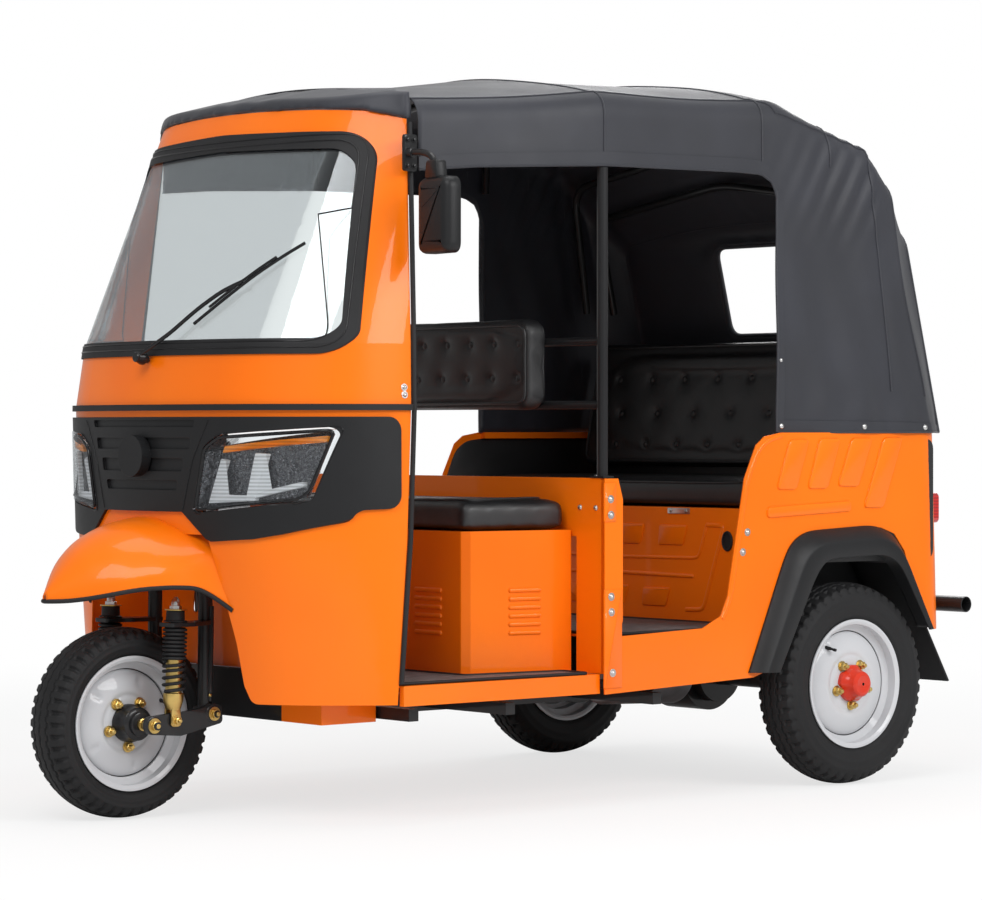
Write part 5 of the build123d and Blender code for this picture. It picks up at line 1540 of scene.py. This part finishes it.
# columns: share of the way from the outer to the inner edge, distance out from the side wall
FLARE_SECTION = [(0.000, -0.001), (0.000, 0.004), (0.012, 0.0075), (0.40, 0.0315), (0.45, 0.0340),
                 (0.50, 0.0350), (0.97, 0.0350), (0.995, 0.0335), (1.0, 0.030), (1.0, -0.010),
                 (0.95, -0.010), (0.95, 0.028), (0.50, 0.030), (0.05, 0.004)]
for side, label in ((1, "left"), (-1, "right")):
    rows = []
    for (ox, oz), (ix, iz) in zip(outer, inner):
        rows.append([Vector((ox + (ix - ox) * s, side * (0.6205 + y), oz + (iz - oz) * s))
                     for s, y in FLARE_SECTION])
    flare = Shape().grid(rows, wrap_columns=True, caps=True)
    flare = flare.make(f"flare_{label}", black_plastic, smooth=50)
    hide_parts("fender_flares")
    liner = []
    for x, z in inner:
        out = (Vector((x, z)) - ARCH_CENTRE).normalized() * GUARD_GAP
        row = [Vector((x + out.x, side * y, z + out.y)) for y in (0.612, 0.590, 0.520, 0.450)]
        liner.append(row + [Vector((x + out.x, side * 0.450, min(z + out.y, GUARD_FOOT_Z)))])
    Shape().grid(liner).make(f"arch_guard_{label}", black_plastic)
print("flares: 2")

# %% [markdown]
# ## Floor mats and side trim
# Both floors have a ribbed rubber-backed mat with a bound edge, and the inside of the tub walls is trimmed in
# black sheet so that the passengers don't lean on painted steel.

# %% Mats and trim
mat_finish = Finish("floor_mat")
ribs = (mat_finish.axis("X") * 520.0).math("SINE")
fleck = mat_finish.noise(1.0, 4.0, where=mat_finish.stretch(30.0, 240.0, 30.0)).between(0.35, 0.7)
mat_finish = mat_finish.done(
    Base_Color=mat_finish.blend(fleck, (0.060, 0.052, 0.050), (0.20, 0.185, 0.185)),
    Roughness=0.62 + fleck * 0.15,
    Normal=mat_finish.bump(ribs * 0.4 + fleck, 0.5, 0.0012),
)
MATS = [
    ("cab_mat", "cab_floor", [(0.150, -0.600), (0.755, -0.585), (0.755, 0.585), (0.150, 0.600),
                              (0.150, 0.508), (0.440, 0.465), (0.440, -0.465), (0.150, -0.508)],
     (0.60, 0.30)),
    ("rear_mat", "rear_floor", [(-0.478, -0.590), (0.070, -0.600), (0.070, 0.600), (-0.478, 0.590)],
     (-0.20, 0.10)),
]
for name, node, outline, probe in MATS:
    top = cast(node, (probe[0], probe[1], 1.2 if node == "rear_floor" else 0.6), (0, 0, -1))[0].z
    ring = rounded(outline, 0.012, 4)
    Shape().slab(ring, (0, 0, top), X_WAY, Y_WAY, 0.0045, 0.001, 0.0).make(name, mat_finish)
    border = dense([(a, b, top + 0.004) for a, b in ring], 0.02, closed=True)
    Shape().tube(border, 0.0045, 8, closed=True).make(f"{name}_binding", rubber)
    print(name, "on", round(top, 4))

TRIM = [(-0.352, 0.600), (-0.397, 0.818), (-0.432, 0.895), (-0.470, 0.922), (-0.530, 0.930), (-1.120, 0.930),
        (-1.120, 0.600)]
for side, label in ((1, "left"), (-1, "right")):
    wall = cast("rear_body", (-0.60, side * 0.3, 0.80), (0, side, 0))
    right = X_WAY * side
    ring = rounded([(side * x, z) for x, z in TRIM], 0.03, 5)
    trim = Shape().slab(ring, (0, wall[0].y, 0), right, Z_WAY, 0.003, 0.001, 0.0005)
    trim.make(f"tub_trim_{label}", leather)
    print("trim on", round(wall[0].y, 4))

board = [(-0.555, 0.815), (0.555, 0.815), (0.555, 0.905), (-0.555, 0.905)]
Shape().slab(board, (-0.932, 0, 0), Y_WAY, Z_WAY, 0.004, 0.001).make("bench_back_board", leather)

# %% [markdown]
# ## Mirror
# The mirror hangs from a plate with four bolts at the cab's top corner: a bent arm, a swivel neck and a
# housing with softly rounded edges. The mirror glass faces the driver. It stays fixed here.

# %% Mirror
TURN = math.radians(-8)
MIRROR = Vector((0.702, 0.678, 1.471))
face_way = Vector((math.cos(TURN), math.sin(TURN), 0))
side_way = Vector((-math.sin(TURN), math.cos(TURN), 0))


def rings(centre, outline, levels):
    """An outline repeated along face_way, once for each (inset, level)."""
    return [[centre + side_way * a + Z_WAY * b + face_way * level for a, b in inset_outline(outline, inset)]
            for inset, level in levels]


outline = rounded([(-0.070, -0.092), (0.070, -0.092), (0.070, 0.092), (-0.070, 0.092)],
                  [0.026, 0.026, 0.030, 0.030], 8)
shell = [(0.010, -0.022), (0.002, -0.022), (0.0, -0.020), (0.0, 0.004), (0.002, 0.010), (0.006, 0.0155),
         (0.012, 0.0195), (0.020, 0.0215), (0.030, 0.0222)]
neck = MIRROR + Vector((0, -0.008, 0.110))
block = rounded([(-0.030, -0.022), (0.030, -0.022), (0.024, 0.022), (-0.024, 0.022)], 0.008, 5)
housing = Shape().grid(rings(MIRROR, outline, shell), wrap_columns=True, caps=True)
housing.grid(rings(neck, block, [(0.003, -0.015), (0.0, -0.012), (0.0, 0.012), (0.003, 0.015)]),
             wrap_columns=True, caps=True)
housing = housing.make("mirror_housing", black_plastic, smooth=50)
arm = [(0.690, 0.5525, 1.629), (0.692, 0.600, 1.628), (0.698, 0.650, 1.616), (0.701, 0.668, 1.590)]
arm_shape = Shape().tube(soft_path(arm, 0.008, 4), 0.0085, 12)
arm_shape.lathe([(0.013, 0.0), (0.013, 0.016), (0.010, 0.018)], (0.690, 0.5515, 1.629), (0, 1, 0), 20)
ring = rounded([(-0.704, 1.584), (-0.664, 1.584), (-0.664, 1.674), (-0.704, 1.674)], 0.008, 4)
arm_shape.slab(ring, (0, 0.5426, 0), (-1, 0, 0), Z_WAY, 0.010, 0.002)
for x in (0.674, 0.695):
    for z in (1.597, 1.661):
        arm_shape.bolt((x, 0.5526, z), (0, 1, 0), 0.0055, 0.006)
arm_shape.make("mirror_arm", black_paint)
mirror_finish = Finish("mirror_glass")
haze = mirror_finish.noise(40.0, 2.0)
mirror_finish = mirror_finish.done(Base_Color=(0.75, 0.77, 0.78), Metallic=1.0, Roughness=0.02 + haze * 0.04)
ring = inset_outline(outline, 0.011)
glass = Shape().grid(rings(MIRROR, ring, [(0.0, -0.0222), (0.001, -0.0222)]), wrap_columns=True, caps=True)
glass.make("mirror_glass", mirror_finish)
line = [MIRROR + side_way * y + Z_WAY * z + face_way * 0.0222
        for y, z in ((-0.040, 0.020), (-0.010, 0.034), (0.020, 0.052), (0.040, 0.060))]
Shape().tube(soft_path(line, 0.006), 0.0008, 6).make("mirror_line", gloss_black)
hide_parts("mirror_left")
print("mirror built at", tuple(round(v, 3) for v in MIRROR))

# %% [markdown]
# ## Studio
# The world is plain white to the camera and through glass, while the light it gives and its reflections stay
# softer; Light Path tells those rays apart. The floor glows the same way, and its share of glow rises with
# distance, so it melts into the background with no horizon line. Big soft lamps draw the highlights.

# %% Floor, world and lamps
def ray_kinds(tree, names):
    """1 for a ray of one of the named kinds, else 0."""
    path = tree.nodes.new("ShaderNodeLightPath")
    either = tree.nodes.new("ShaderNodeMath")
    either.operation = "MAXIMUM"
    for socket, name in zip(either.inputs, names):
        tree.links.new(path.outputs[name], socket)
    return either.outputs[0]


SEEN = ("Is Camera Ray", "Is Transmission Ray")
FLOOR_HALF = 60.0
floor_finish = Finish("studio_floor")
diffuse = floor_finish.add("BsdfDiffuse", {}, {"Color": (0.80, 0.80, 0.80)})
glow = floor_finish.add("Emission", {}, {"Color": (1.0, 1.0, 1.0), "Strength": 1.0})
distance = floor_finish.add("VectorMath", {"operation": "LENGTH"}, {0: floor_finish.place}, out="Value")
share = (distance.between(1.5, 5.5) * 0.28 + 0.72) * Wire(floor_finish, ray_kinds(floor_finish.tree, SEEN))
mixed = floor_finish.add("MixShader", {}, {0: share, 1: diffuse, 2: glow})
floor_finish.add("OutputMaterial", {}, {"Surface": mixed})
floor_mesh = bpy.data.meshes.new("floor")
corners = [(-FLOOR_HALF, -FLOOR_HALF, 0), (FLOOR_HALF, -FLOOR_HALF, 0), (FLOOR_HALF, FLOOR_HALF, 0),
           (-FLOOR_HALF, FLOOR_HALF, 0)]
floor_mesh.from_pydata(corners, [], [(0, 1, 2, 3)])
floor_mesh.materials.append(floor_finish.material)
floor = bpy.data.objects.new("floor", floor_mesh)
scene.collection.objects.link(floor)

WORLD_LIGHT = 0.45
world = bpy.data.worlds.new("studio")
scene.world = world
world.use_nodes = True
tree = world.node_tree
tree.nodes.clear()
background = tree.nodes.new("ShaderNodeBackground")
output = tree.nodes.new("ShaderNodeOutputWorld")
level = tree.nodes.new("ShaderNodeMapRange")
tree.links.new(ray_kinds(tree, SEEN), level.inputs["Value"])
level.inputs["To Min"].default_value = WORLD_LIGHT
level.inputs["To Max"].default_value = 1.0
background.inputs["Color"].default_value = (1.0, 1.0, 1.0, 1.0)
tree.links.new(level.outputs[0], background.inputs["Strength"])
tree.links.new(background.outputs[0], output.inputs["Surface"])

# columns: name, place, aim, width, height, watts
LAMPS = [
    ("key", (4.5, 2.6, 4.6), (0.2, 0.0, 0.9), 3.2, 2.4, 150.0),
    ("side", (-0.8, 6.0, 3.6), (-0.3, 0.0, 0.8), 4.0, 2.0, 230.0),
    ("top", (0.0, 0.0, 6.5), (0.0, 0.0, 0.0), 4.5, 3.0, 130.0),
    ("rear", (-5.0, -3.5, 4.0), (-0.5, 0.0, 1.0), 3.0, 2.0, 90.0),
]
for name, place, aim, width, height, watts in LAMPS:
    lamp_data = bpy.data.lights.new(name, "AREA")
    lamp_data.shape = "RECTANGLE"
    lamp_data.size = width
    lamp_data.size_y = height
    lamp_data.energy = watts
    lamp = bpy.data.objects.new(name, lamp_data)
    lamp.location = place
    lamp.rotation_mode = "QUATERNION"
    lamp.rotation_quaternion = (Vector(aim) - Vector(place)).to_track_quat("-Z", "Y")
    scene.collection.objects.link(lamp)
print("studio:", len(LAMPS), "lamps")
